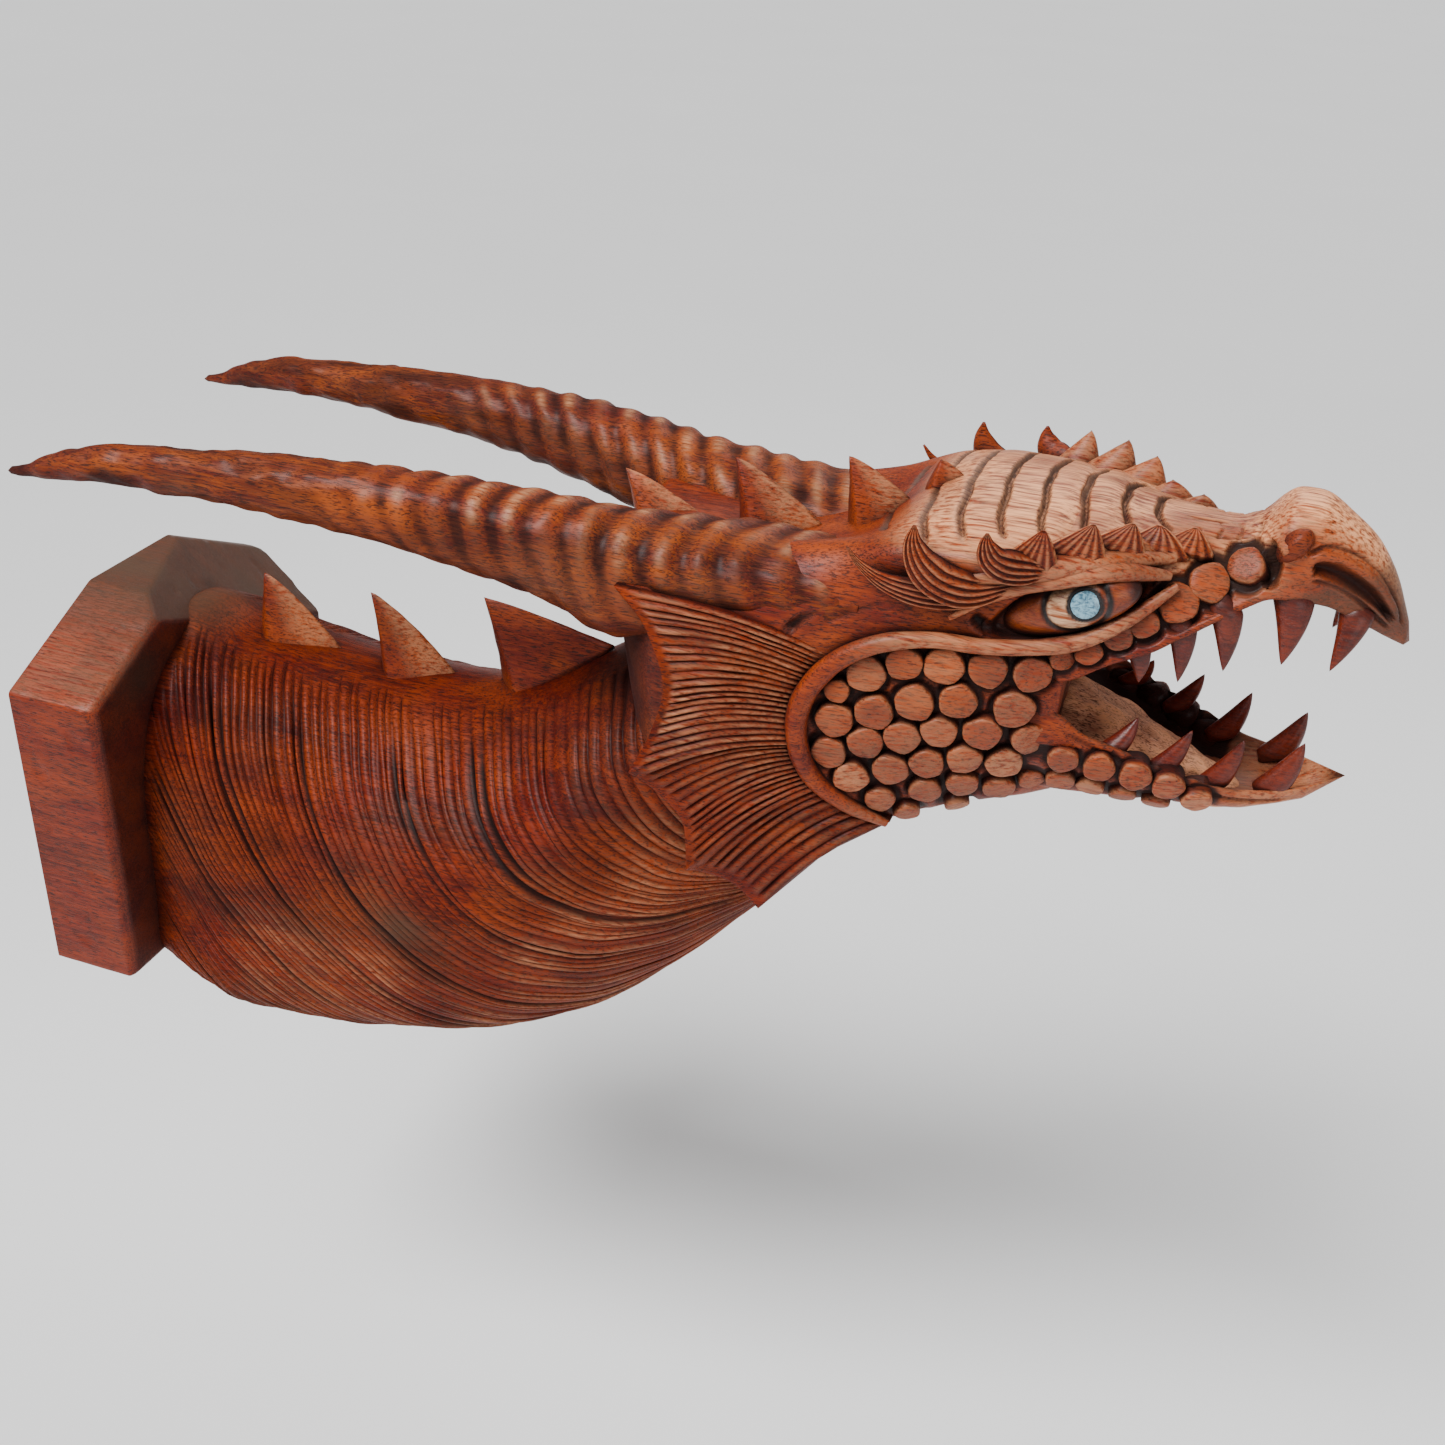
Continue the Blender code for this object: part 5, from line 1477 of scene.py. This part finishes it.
@dataclass
class Eyes:
    """Almond eyeballs, each with an inked iris round its inlay."""

    centre: Point = (396, 36.5, 156)
    half: Point = (23, 7.5, 9)
    tilt: float = 27.0
    inlay_at: Point = (401, 42.9, 159.5)
    inlay_normal: Point = (0.18, 0.97, 0.16)
    inlay_radius: float = 4.6
    iris_shift: Point = (-2.6, 0.2, -0.8)
    iris_half: tuple[float, float] = (10.6, 9.2)
    rows: int = 100
    dome: tuple = ((0.97, -1.1), (1.0, -0.8), (1.0, -0.1), (0.97, 0.1), (0.9, 0.26), (0.75, 0.38),
                   (0.5, 0.46), (0.2, 0.5))

    def build(self, side: Side) -> list[bpy.types.Object]:
        """Carve one eyeball and set its inlay.

        Args:
            side: Which eye.

        Returns:
            The eyeball and the inlay.
        """
        a = np.linspace(0.02, math.pi - 0.02, self.rows)[:, None]
        b = np.linspace(0, 2 * math.pi, self.rows + 1)[None, :-1]
        c, s = math.cos(math.radians(self.tilt)), math.sin(math.radians(self.tilt))
        px = -self.half[0] * np.cos(a) + 0 * b
        py = self.half[1] * np.sin(a) * np.cos(b)
        pz = self.half[2] * np.sin(a) * np.sin(b)
        grid = np.stack([self.centre[0] + px * c - pz * s, self.centre[1] + py,
                         self.centre[2] + px * s + pz * c], axis=-1)
        skin = Skin(grid)
        at = np.array(self.inlay_at)
        gap = np.linalg.norm(grid - at, axis=-1)
        iris = grid - (at + np.array(self.iris_shift))
        lean_x = iris[..., 0] * c + iris[..., 2] * s
        lean_z = -iris[..., 0] * s + iris[..., 2] * c
        round_iris = np.hypot(lean_x / self.iris_half[0], lean_z / self.iris_half[1])
        outer = bump(round_iris, 1.0, 0.16)
        inner = smooth(-gap, -6.4, -5.6) * smooth(gap, 3.6, 4.2)
        skin.ink = np.clip(np.maximum(outer, inner) * 1.4, 0, 1) * (grid[..., 1] > self.centre[1] + 1)
        skin.worn = smooth(-round_iris, -0.98, -0.9) * smooth(at[0] - grid[..., 0], -4.0, 0.5)
        # Painted shade: the ends of the eyeball, where it runs under the lids, are darkened
        skin.hollow = np.clip(smooth(np.abs(px), 17.5, 22), 0, 1)
        skin.push(-0.5 * outer - 1.2 * smooth(-gap, -self.inlay_radius - 0.4, -self.inlay_radius + 0.1))
        skin.mirror(side)
        ball = skin.mesh(f"eyeball_{side.word}", EYE)
        return [ball, self.inlay(side)]

    def inlay(self, side: Side) -> bpy.types.Object:
        """Set the domed inlay over its own CAD piece.

        Args:
            side: Which eye.

        Returns:
            The inlay.
        """
        n = np.array(self.inlay_normal)
        n = n / np.linalg.norm(n)
        ax = np.array((1.0, 0, 0)) - n * n[0]
        ax /= np.linalg.norm(ax)
        up = np.cross(n, ax)
        at = np.array(self.inlay_at)
        turn = np.linspace(0, 2 * math.pi, 49)[:-1]
        circle = np.cos(turn)[:, None] * ax + np.sin(turn)[:, None] * up
        skin = Skin(np.array([at + n * high + self.inlay_radius * radius * circle
                              for radius, high in self.dome]))
        skin.mirror(side)
        piece = skin.mesh(f"inlay_{side.word}", INLAY,
                          start=(at - n * 1.1) * side.flip, end=(at + n * 0.5) * side.flip)
        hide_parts(f"eye_inlay_{side.word}")
        return piece


@dataclass
class Teeth:
    """Curved fangs in both jaws."""

    upper: tuple = (
        ((418, 30.5, 142), 8, (421, 30, 130)), ((430, 28, 151), 9, (433, 28, 132)),
        ((442, 25, 158), 10, (446, 26, 138)), ((461, 17.8, 163), 12, (463, 21.5, 142)),
        ((481, 11.2, 159), 10, (478, 17.2, 141)),
    )
    lower: tuple = (
        ((415, 27, 101), 9, (423, 22.7, 113.7)), ((432, 23, 96), 9, (441, 21.7, 112.6)),
        ((449, 18, 91), 10, (458, 18, 111)), ((468, 12, 91), 11, (477, 11.4, 111)),
    )

    rows: int = 22
    around: int = 24
    sunk_upper: float = 0.3
    sunk_lower: float = 0.14

    def build(self) -> list[bpy.types.Object]:
        """Carve the fangs of both jaws on both sides.

        Returns:
            One object for each jaw's teeth on each side.
        """
        out = []
        jaws = (("upper", self.upper, self.sunk_upper), ("lower", self.lower, self.sunk_lower))
        for side in Side:
            for jaw, table, sunk in jaws:
                verts, faces, hollow = [], [], []
                for root, wide, tip in table:
                    base = len(verts)
                    grid, dark = self.tooth(np.array(root, float), wide, np.array(tip, float), sunk)
                    verts.extend((grid * side.flip).reshape(-1, 3))
                    hollow.extend(np.repeat(dark, self.around))
                    faces += grid_faces(self.rows, self.around, base)
                    verts.append(tip * side.flip)
                    hollow.append(0.0)
                    faces += fan_faces(len(verts) - 1, base + (self.rows - 1) * self.around, self.around)
                    faces.append([base + k for k in range(self.around)][::-1])
                out.append(make_piece(f"{jaw}_teeth_{side.word}", np.array(verts), faces, TOOTH,
                                      {"hollow": np.array(hollow)}))
        return out

    def tooth(self, root: np.ndarray, wide: float, tip: np.ndarray,
              sunk: float) -> tuple[np.ndarray, np.ndarray]:
        """One fang, bent forwards, as rings from below its root to near its tip.

        Args:
            root: Where it leaves the jaw.
            wide: Its width there.
            tip: Its point.
            sunk: How far it goes on inside the jaw, as a share of its length.

        Returns:
            The grid of points, and how much painted shade each row takes near the root.
        """
        begin = root - (tip - root) * sunk
        t = np.linspace(0, 0.96, self.rows)[:, None]
        bend = np.sin(math.pi * t ** 0.9) * 0.13 * wide
        middle = begin + (tip - begin) * t + np.array((1, 0, 0)) * bend
        size = (1 - t ** 1.35) ** 0.85 * (0.25 + 0.75 * smooth(t, -0.02, 0.22))
        turn = np.linspace(0, 2 * math.pi, self.around + 1)[None, :-1]
        cx, cy = (np.sign(way) * np.abs(way) ** 1.15 for way in (np.cos(turn), np.sin(turn)))
        ring = np.stack([wide / 2 * 1.22 * size * cx, wide * 0.38 * size * cy, 0 * size * cx], axis=-1)
        # Painted shade darkens each fang towards its root
        return middle[:, None] + ring, np.clip(0.8 - t[:, 0] * 2.0, 0, 1)


class Tree(NodeTree):
    """A Geometry Nodes tree with named inputs, built node by node."""

    def __init__(self, name: str, **inputs: float) -> None:
        """Start a tree that takes and gives geometry.

        Args:
            name: The tree's name.
            **inputs: Its named inputs, sizes in metres and whole numbers.
        """
        super().__init__(bpy.data.node_groups.new(name, "GeometryNodeTree"))
        face = self.tree.interface
        for way in ("INPUT", "OUTPUT"):
            face.new_socket("Geometry", in_out=way, socket_type="NodeSocketGeometry")
        for key, value in inputs.items():
            kind = "NodeSocketInt" if isinstance(value, int) else "NodeSocketFloat"
            face.new_socket(key, in_out="INPUT", socket_type=kind).default_value = value
        self.values = inputs
        self.inlet = self.tree.nodes.new("NodeGroupInput")
        self.outlet = self.tree.nodes.new("NodeGroupOutput")

    def given(self, name: str) -> bpy.types.NodeSocket:
        """One of the tree's own inputs."""
        return self.inlet.outputs[name]

    def named(self, name: str, kind: str) -> bpy.types.NodeSocket:
        """A value kept at the points under a name."""
        node = self.add("GeometryNodeInputNamedAttribute", {"Name": name}, data_type=kind)
        return node.outputs["Attribute"]

    def finish(self, geometry: bpy.types.NodeSocket, finish: Finish) -> None:
        """End the tree with Realize Instances and Set Material."""
        real = self.add("GeometryNodeRealizeInstances", {"Geometry": geometry})
        dressed = self.add("GeometryNodeSetMaterial", {"Geometry": real.outputs[0],
                                                       "Material": finish.material()})
        self.join(dressed.outputs[0], self.outlet.inputs[0])

    def run(self, seed_mesh: bpy.types.Mesh, name: str) -> bpy.types.Object:
        """Apply the tree to a mesh and keep the result as a plain mesh.

        Args:
            seed_mesh: The points that the tree starts from.
            name: The new object's name.

        Returns:
            A new object at the origin.
        """
        carrier = stand(name + "_points", seed_mesh)
        modifier = carrier.modifiers.new("carve", "NODES")
        modifier.node_group = self.tree
        for item in self.tree.interface.items_tree:
            if item.in_out == "INPUT" and item.name in self.values:
                modifier[item.identifier] = self.values[item.name]
        graph = bpy.context.evaluated_depsgraph_get()
        mesh = bpy.data.meshes.new_from_object(carrier.evaluated_get(graph))
        mesh.name = name
        carrier.modifiers.clear()
        bpy.data.objects.remove(carrier)
        return stand(name, mesh)


def point_mesh(name: str, points: np.ndarray, floats: dict[str, np.ndarray] | None = None,
               vectors: dict[str, np.ndarray] | None = None, line: bool = False) -> bpy.types.Mesh:
    """A mesh of loose points, or of points in a line, with named values.

    Args:
        name: The mesh's name.
        points: Places in millimetres.
        floats: Named numbers for each point.
        vectors: Named directions for each point.
        line: Whether each point is joined to the next.

    Returns:
        The mesh, in metres.
    """
    mesh = bpy.data.meshes.new(name)
    edges = [(k, k + 1) for k in range(len(points) - 1)] if line else []
    mesh.from_pydata((np.asarray(points) * MM).tolist(), edges, [])
    for key, values in (floats or {}).items():
        mesh.attributes.new(key, "FLOAT", "POINT").data.foreach_set("value", np.asarray(values, np.float32))
    for key, values in (vectors or {}).items():
        layer = mesh.attributes.new(key, "FLOAT_VECTOR", "POINT")
        layer.data.foreach_set("vector", np.asarray(values, np.float32).reshape(-1))
    return mesh


RIM_PATH = ((427, 30, 166), (415, 36, 155), (402, 40, 146), (388, 43.5, 142), (371, 46.5, 140),
            (355, 49, 140), (338, 52, 136), (324, 53, 126), (315, 53.5, 111), (314, 53, 95),
            (320, 50.5, 80), (332, 46, 69), (346, 40, 61))


@dataclass
class CheekScales:
    """Round flat-topped scales that pave the cheeks and run along both lips."""

    rows: tuple = (
        ((338, 125), (357, 133), (387, 131), 12.7, 6.8), ((324, 114), (324.2, 114), (324.4, 114), 10.0, 4.8),
        ((330, 103), (351, 115), (384, 118), 14.3, 6.9), ((322, 93), (353, 103), (389, 104), 13.7, 6.6),
        ((333, 84), (360, 93), (380, 93), 13.4, 6.5), ((343, 73), (366, 82), (379, 83), 14.6, 5.8),
        ((352, 66), (360, 68.5), (368, 71), 12.5, 4.8), ((402, 99.4), (426, 96), (447, 88.6), 11.7, 5.6),
        ((390, 89.5), (412, 87.6), (434, 84), 11.4, 5.0),
    )
    lip: tuple = ((395.6, 137.5, 4.6), (404.4, 141.6, 4.6), (412, 147.4, 4.9), (419.4, 152.2, 5.2),
                  (427.6, 159.2, 6.8), (436.0, 165.9, 6.4), (446.2, 172.0, 6.0))
    rounds: int = 24
    space: float = 0.25
    proud: float = 2.1
    ridge: float = 2.2
    seed: int = 3
    around: int = 24
    # Rows of radius, height, painted shade and wear: the base is darkened as painted shade where the scale
    # meets the skin, and the rim is paler
    shape: tuple = ((1.0, -3.0, 1.0, 0.0), (1.0, -0.3, 0.75, 0.0), (0.985, 0.45, 0.15, 0.32),
                    (0.94, 0.85, 0.0, 0.22), (0.86, 1.0, 0.0, 0.10), (0.5, 1.03, 0.0, 0.08))
    settled: np.ndarray | None = field(default=None, init=False)

    def spots(self) -> np.ndarray:
        """Settle the rows so that no scale runs into the next.

        Returns:
            Rows of x, z and radius.
        """
        if self.settled is not None:
            return self.settled
        spots = []
        for first, middle, last, spacing, radius in self.rows:
            p0, pm, p2 = (np.array(p, float) for p in (first, middle, last))
            p1 = 2 * pm - (p0 + p2) / 2
            count = int((np.linalg.norm(pm - p0) + np.linalg.norm(p2 - pm)) / spacing + 0.5) + 1
            for k in range(count):
                t = k / max(count - 1, 1)
                place = (1 - t) ** 2 * p0 + 2 * t * (1 - t) * p1 + t * t * p2
                spots.append([place[0], place[1], radius])
        spots = np.array(spots)
        ridge = np.array([(p[0], p[2]) for p in RIM_PATH])
        for _ in range(self.rounds):
            for i in range(len(spots)):
                for j in range(i + 1, len(spots)):
                    gap = spots[j, :2] - spots[i, :2]
                    size = float(np.linalg.norm(gap))
                    need = spots[i, 2] + spots[j, 2] + self.space
                    if size < need:
                        shift = gap / size * (need - size) * 0.25
                        spots[i, :2] -= shift
                        spots[j, :2] += shift
                best = None
                for a, b in zip(ridge[:-1], ridge[1:]):
                    t = min(max(np.dot(spots[i, :2] - a, b - a) / np.dot(b - a, b - a), 0.0), 1.0)
                    off = spots[i, :2] - (a + (b - a) * t)
                    if best is None or np.linalg.norm(off) < np.linalg.norm(best):
                        best = off
                size = max(float(np.linalg.norm(best)), 0.001)
                if size < spots[i, 2] + self.ridge:
                    spots[i, :2] += best / size * (spots[i, 2] + self.ridge - size) * 0.6
        self.settled = np.concatenate([spots, np.array(self.lip)])
        return self.settled

    def places(self) -> tuple[np.ndarray, np.ndarray, np.ndarray]:
        """Put each scale on the skin under it.

        Returns:
            Centres, outward directions and radii on the left side.
        """
        skins = {}
        for key, table in (("skull", SKULL_SECTIONS), ("snout", SNOUT_SECTIONS), ("jaw", JAW_SECTIONS)):
            skin = Skin(lofted(table, 1.0, 240))
            normals = skin.normals()
            side = (skin.points[..., 1] > 5) & (normals[..., 1] > 0.25)
            skins[key] = (skin.points[side], normals[side])
        centres, facing, radii = [], [], []
        for x, z, radius in self.spots():
            points, normals = skins["skull" if x <= 396.5 else ("snout" if z > 125 else "jaw")]
            gap = np.hypot(points[:, 0] - x, points[:, 2] - z)
            near = np.argsort(gap)[:12]
            n = normals[near].mean(axis=0)
            centres.append(points[near[0]])
            facing.append(n / np.linalg.norm(n))
            radii.append(radius)
        return np.array(centres), np.array(facing), np.array(radii)

    def peg(self) -> bpy.types.Object:
        """Make the scale that is repeated: a short round peg with an eased rim.

        Returns:
            The peg, with its layers of painted shade and wear.
        """
        turn = np.linspace(0, 2 * math.pi, self.around + 1)[:-1]
        uneven = 1 + 0.035 * np.sin(3 * turn + 1) + 0.025 * np.sin(5 * turn) + 0.015 * np.sin(8 * turn)
        verts, hollow, worn = [], [], []
        for radius, high, dark, rubbed in self.shape:
            verts += np.column_stack([radius * uneven * np.cos(turn), radius * uneven * np.sin(turn),
                                      np.full(self.around, high)]).tolist()
            hollow += [dark] * self.around
            worn += [rubbed] * self.around
        verts.append([0, 0, self.shape[-1][1]])
        hollow.append(hollow[-1])
        worn.append(worn[-1])
        rows = len(self.shape)
        faces = grid_faces(rows, self.around)
        faces += fan_faces(len(verts) - 1, (rows - 1) * self.around, self.around)
        faces.append(list(range(self.around))[::-1])
        mesh = bpy.data.meshes.new("scale_peg")
        mesh.from_pydata(verts, [], faces)
        for key, layer in (("hollow", hollow), ("worn", worn)):
            mesh.attributes.new(key, "FLOAT", "POINT").data.foreach_set("value", np.array(layer, np.float32))
        mesh.shade_smooth()
        return stand("scale_peg", mesh)

    def build(self) -> bpy.types.Object:
        """Stand a peg on every place, each turned and sized a little differently.

        Returns:
            All the scales as one piece.
        """
        centres, facing, radii = self.places()
        centres, facing = (np.concatenate([left, left * Side.RIGHT.flip]) for left in (centres, facing))
        radii = np.concatenate([radii, radii])
        seeds = point_mesh("scale_places", centres, {"size": radii * MM}, {"facing": facing})
        peg = self.peg()
        tree = Tree("scales", Height=self.proud * MM, Seed=self.seed)
        seed = tree.given("Seed")
        aim = tree.add("FunctionNodeAlignRotationToVector",
                       {"Vector": tree.named("facing", "FLOAT_VECTOR")}, axis="Z")
        tilt = tree.add("FunctionNodeRandomValue", {0: (-0.07, -0.07, 0.0), 1: (0.07, 0.07, 6.28),
                                                    "Seed": seed}, data_type="FLOAT_VECTOR")
        turned = tree.add("FunctionNodeRotateRotation", {"Rotation": aim.outputs[0]}, rotation_space="LOCAL")
        as_turn = tree.add("FunctionNodeEulerToRotation", {0: tilt.outputs[0]})
        tree.join(as_turn.outputs[0], turned.inputs[1])
        grow = tree.add("FunctionNodeRandomValue", {2: 0.94, 3: 1.03, "Seed": seed})
        wide = tree.add("ShaderNodeMath", {0: tree.named("size", "FLOAT"), 1: grow.outputs[1]},
                        operation="MULTIPLY").outputs[0]
        size = tree.add("ShaderNodeCombineXYZ", {0: wide, 1: wide, 2: tree.given("Height")})
        info = tree.add("GeometryNodeObjectInfo", {"Object": peg})
        placed = tree.add("GeometryNodeInstanceOnPoints",
                          {"Points": tree.given("Geometry"), "Instance": info.outputs["Geometry"],
                           "Rotation": turned.outputs[0], "Scale": size.outputs[0]})
        tree.finish(placed.outputs[0], BODY)
        obj = tree.run(seeds, "cheek_scales")
        bpy.data.objects.remove(peg)
        obj.data.shade_smooth()
        self.weather(obj, centres)
        return fasten(obj, BODY)

    def weather(self, obj: bpy.types.Object, centres: np.ndarray) -> None:
        """Make some scales paler than others, and the low ones palest.

        Args:
            obj: All the scales as one piece.
            centres: The scales' places in millimetres.
        """
        rng = np.random.default_rng(self.seed + 1)
        pale = np.tile(np.clip(rng.uniform(-0.28, 0.20, len(centres) // 2), 0, 1), 2)
        pale = np.clip(pale + 0.14 * smooth(-centres[:, 2], -106, -94), 0, 0.5)
        layer = obj.data.attributes["worn"].data
        worn = np.empty(len(layer), np.float32)
        layer.foreach_get("value", worn)
        worn = worn.reshape(len(centres), -1)
        worn = np.maximum(worn, pale[:, None] * (worn > 0))
        layer.foreach_set("value", worn.reshape(-1).astype(np.float32))


CHEEK = CheekScales()


@dataclass
class FaceRidges:
    """Raised ridges of the face, each a bar that follows its path."""

    band: tuple = ((350, 49.5, 158), (362, 48.5, 162), (374, 46.8, 166.6), (386, 44.8, 169.5),
                   (399, 39.8, 172), (412, 32.5, 172.5), (424, 24, 172.5))
    band_radii: tuple = (1.2, 2.8, 3.6, 4.2, 4.0, 3.4, 1.8)
    rim_radii: tuple = (1.3, 2.6, 2.9, 2.7, 2.6, 2.8, 3.2, 3.7, 4.0, 4.0, 3.7, 3.0, 1.6)
    lid_radii: tuple = (1.0, 2.2, 3.0, 3.4, 3.2, 1.6)
    rows: int = 110
    sides: int = 22
    lid: tuple = ((360, 49, 149), (370, 47, 157), (382, 45.3, 163.5), (393, 43.4, 167.2), (408, 38.5, 170.5),
                  (424, 30, 169))

    def build(self, side: Side) -> list[bpy.types.Object]:
        """Lay the ridges of one side.

        Args:
            side: Which side of the face.

        Returns:
            The brow band, the ridge round the cheek and the eyelid.
        """
        out = []
        paths = (("brow_band", self.band, self.band_radii), ("cheek_ridge", RIM_PATH, self.rim_radii),
                 ("eyelid", self.lid, self.lid_radii))
        for name, path, radii in paths:
            line = even_spacing(curve_through(path, 14), self.rows) * side.flip
            size = np.interp(np.linspace(0, 1, self.rows), np.linspace(0, 1, len(radii)), radii)
            size = size * (1 + 0.05 * ripple(line, 6, 131))
            rubbed = 0.36 * smooth(line[:, 0], 322, 352) * (0.75 + 0.5 * ripple(line, 12, 132))
            seeds = point_mesh(name + "_line", line, {"size": size * MM, "worn": rubbed}, line=True)
            tree = Tree(name, Fullness=1.0, Sides=self.sides)
            curve = tree.add("GeometryNodeMeshToCurve", {0: tree.given("Geometry")})
            wide = tree.add("ShaderNodeMath", {0: tree.named("size", "FLOAT"), 1: tree.given("Fullness")},
                            operation="MULTIPLY").outputs[0]
            sized = tree.add("GeometryNodeSetCurveRadius", {"Curve": curve.outputs[0], "Radius": wide})
            ring = tree.add("GeometryNodeCurvePrimitiveCircle",
                            {"Resolution": tree.given("Sides"), "Radius": 1.0}, mode="RADIUS")
            bar = tree.add("GeometryNodeCurveToMesh",
                           {"Curve": sized.outputs[0], "Profile Curve": ring.outputs[0], "Fill Caps": True})
            if "Scale" in bar.inputs:
                tree.join(wide, bar.inputs["Scale"])
            tree.finish(bar.outputs[0], BODY)
            obj = tree.run(seeds, f"{name}_{side.word}")
            obj.data.shade_smooth()
            out.append(fasten(obj, BODY))
        return out


@dataclass
class Studio:
    """Pale floor, soft lights and the camera of the photograph."""

    place: Point = (438.13, -516.66, 375.10)
    right: Point = (0.94009286, 0.33709526, 0.05091361)
    up: Point = (-0.21001789, 0.45499613, 0.86537334)
    forward: Point = (-0.26854775, 0.82422407, -0.49853465)
    lens: float = 40.36
    sensor: float = 36.0
    floor_z: float = -330.0
    floor_half: float = 30.0
    room: float = 0.34
    sky: float = 3.4
    sky_spread: float = 0.45
    lamps: tuple = (
        ("window", (-100, -500, 700), (260, 0, 70), 450, 5.0),
        ("fill", (950, -700, 300), (300, 0, 80), 500, 2.0),
        ("back", (350, 700, 800), (250, 0, 80), 700, 4.0),
    )

    def build(self) -> None:
        """Set up everything that is not part of the carving."""
        self.camera()
        self.floor()
        self.lights()

    def camera(self) -> None:
        """Place the camera where the photograph was taken from."""
        data = bpy.data.cameras.new("camera")
        data.sensor_width = self.sensor
        data.lens = self.lens
        data.clip_start = 0.01
        cam = stand("camera", data)
        r, u, f = self.right, self.up, self.forward
        rows = [(r[k], u[k], -f[k], self.place[k] * MM) for k in range(3)]
        cam.matrix_world = Matrix(rows + [(0, 0, 0, 1)])
        bpy.context.scene.camera = cam

    def floor(self) -> None:
        """A plain pale floor below the carving."""
        corners = ((-1, -1), (1, -1), (1, 1), (-1, 1))
        mesh = bpy.data.meshes.new("floor")
        mesh.from_pydata([(x * self.floor_half, y * self.floor_half, self.floor_z * MM) for x, y in corners],
                         [], [(0, 1, 2, 3)])
        obj = stand("floor", mesh)
        sheet = Sheet("pale_floor")
        tone = sheet.noise(sheet.place(), (3, 3, 3), 2.0)
        sheet.set(Base_Color=sheet.mix(tone, (0.86, 0.86, 0.86), (0.90, 0.90, 0.90)), Roughness=0.9)
        mesh.materials.append(sheet.material)

    def lights(self) -> None:
        """A large soft window light above, a fill and a pale room."""
        world = bpy.data.worlds.new("pale_room")
        world.use_nodes = True
        background = world.node_tree.nodes["Background"]
        background.inputs[0].default_value = rgb(1.0, 1.0, 1.0)
        background.inputs[1].default_value = self.room
        bpy.context.scene.world = world
        for name, place, target, size, power in self.lamps:
            data = bpy.data.lights.new(name, "AREA")
            data.shape = "SQUARE"
            data.size = size * MM
            data.energy = power
            self.lamp(name, data, place, target)
        sun = bpy.data.lights.new("skylight", "SUN")
        sun.energy = self.sky
        sun.angle = self.sky_spread
        self.lamp("skylight", sun, (-800, -1100, 1900), (0, 0, 0))

    def lamp(self, name: str, data: bpy.types.Light, place: Point, target: Point) -> None:
        """Hang a light at a place, turned towards its target.

        Args:
            name: The light's name.
            data: The light.
            place: Where it hangs, in millimetres.
            target: The place that it points to.
        """
        lamp = stand(name, data)
        lamp.location = Vector(place) * MM
        lamp.rotation_euler = (Vector(target) - Vector(place)).to_track_quat("-Z", "Y").to_euler()


def main() -> None:
    """Build the carving piece by piece, then the studio round it."""
    logging.basicConfig(level=logging.INFO, format="%(message)s")
    Studio().build()
    neck = Neck().build()
    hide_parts("dragon_carving")
    BackPlate().build()
    Head().build()
    for side in Side:
        Horns().build(side)
        Fins().build(side)
        BrowLeaves().build(side)
        Eyes().build(side)
        FaceRidges().build(side)
    Spikes().build()
    Teeth().build()
    CHEEK.build()
    bpy.context.view_layer.update()


if __name__ == "__main__":
    main()
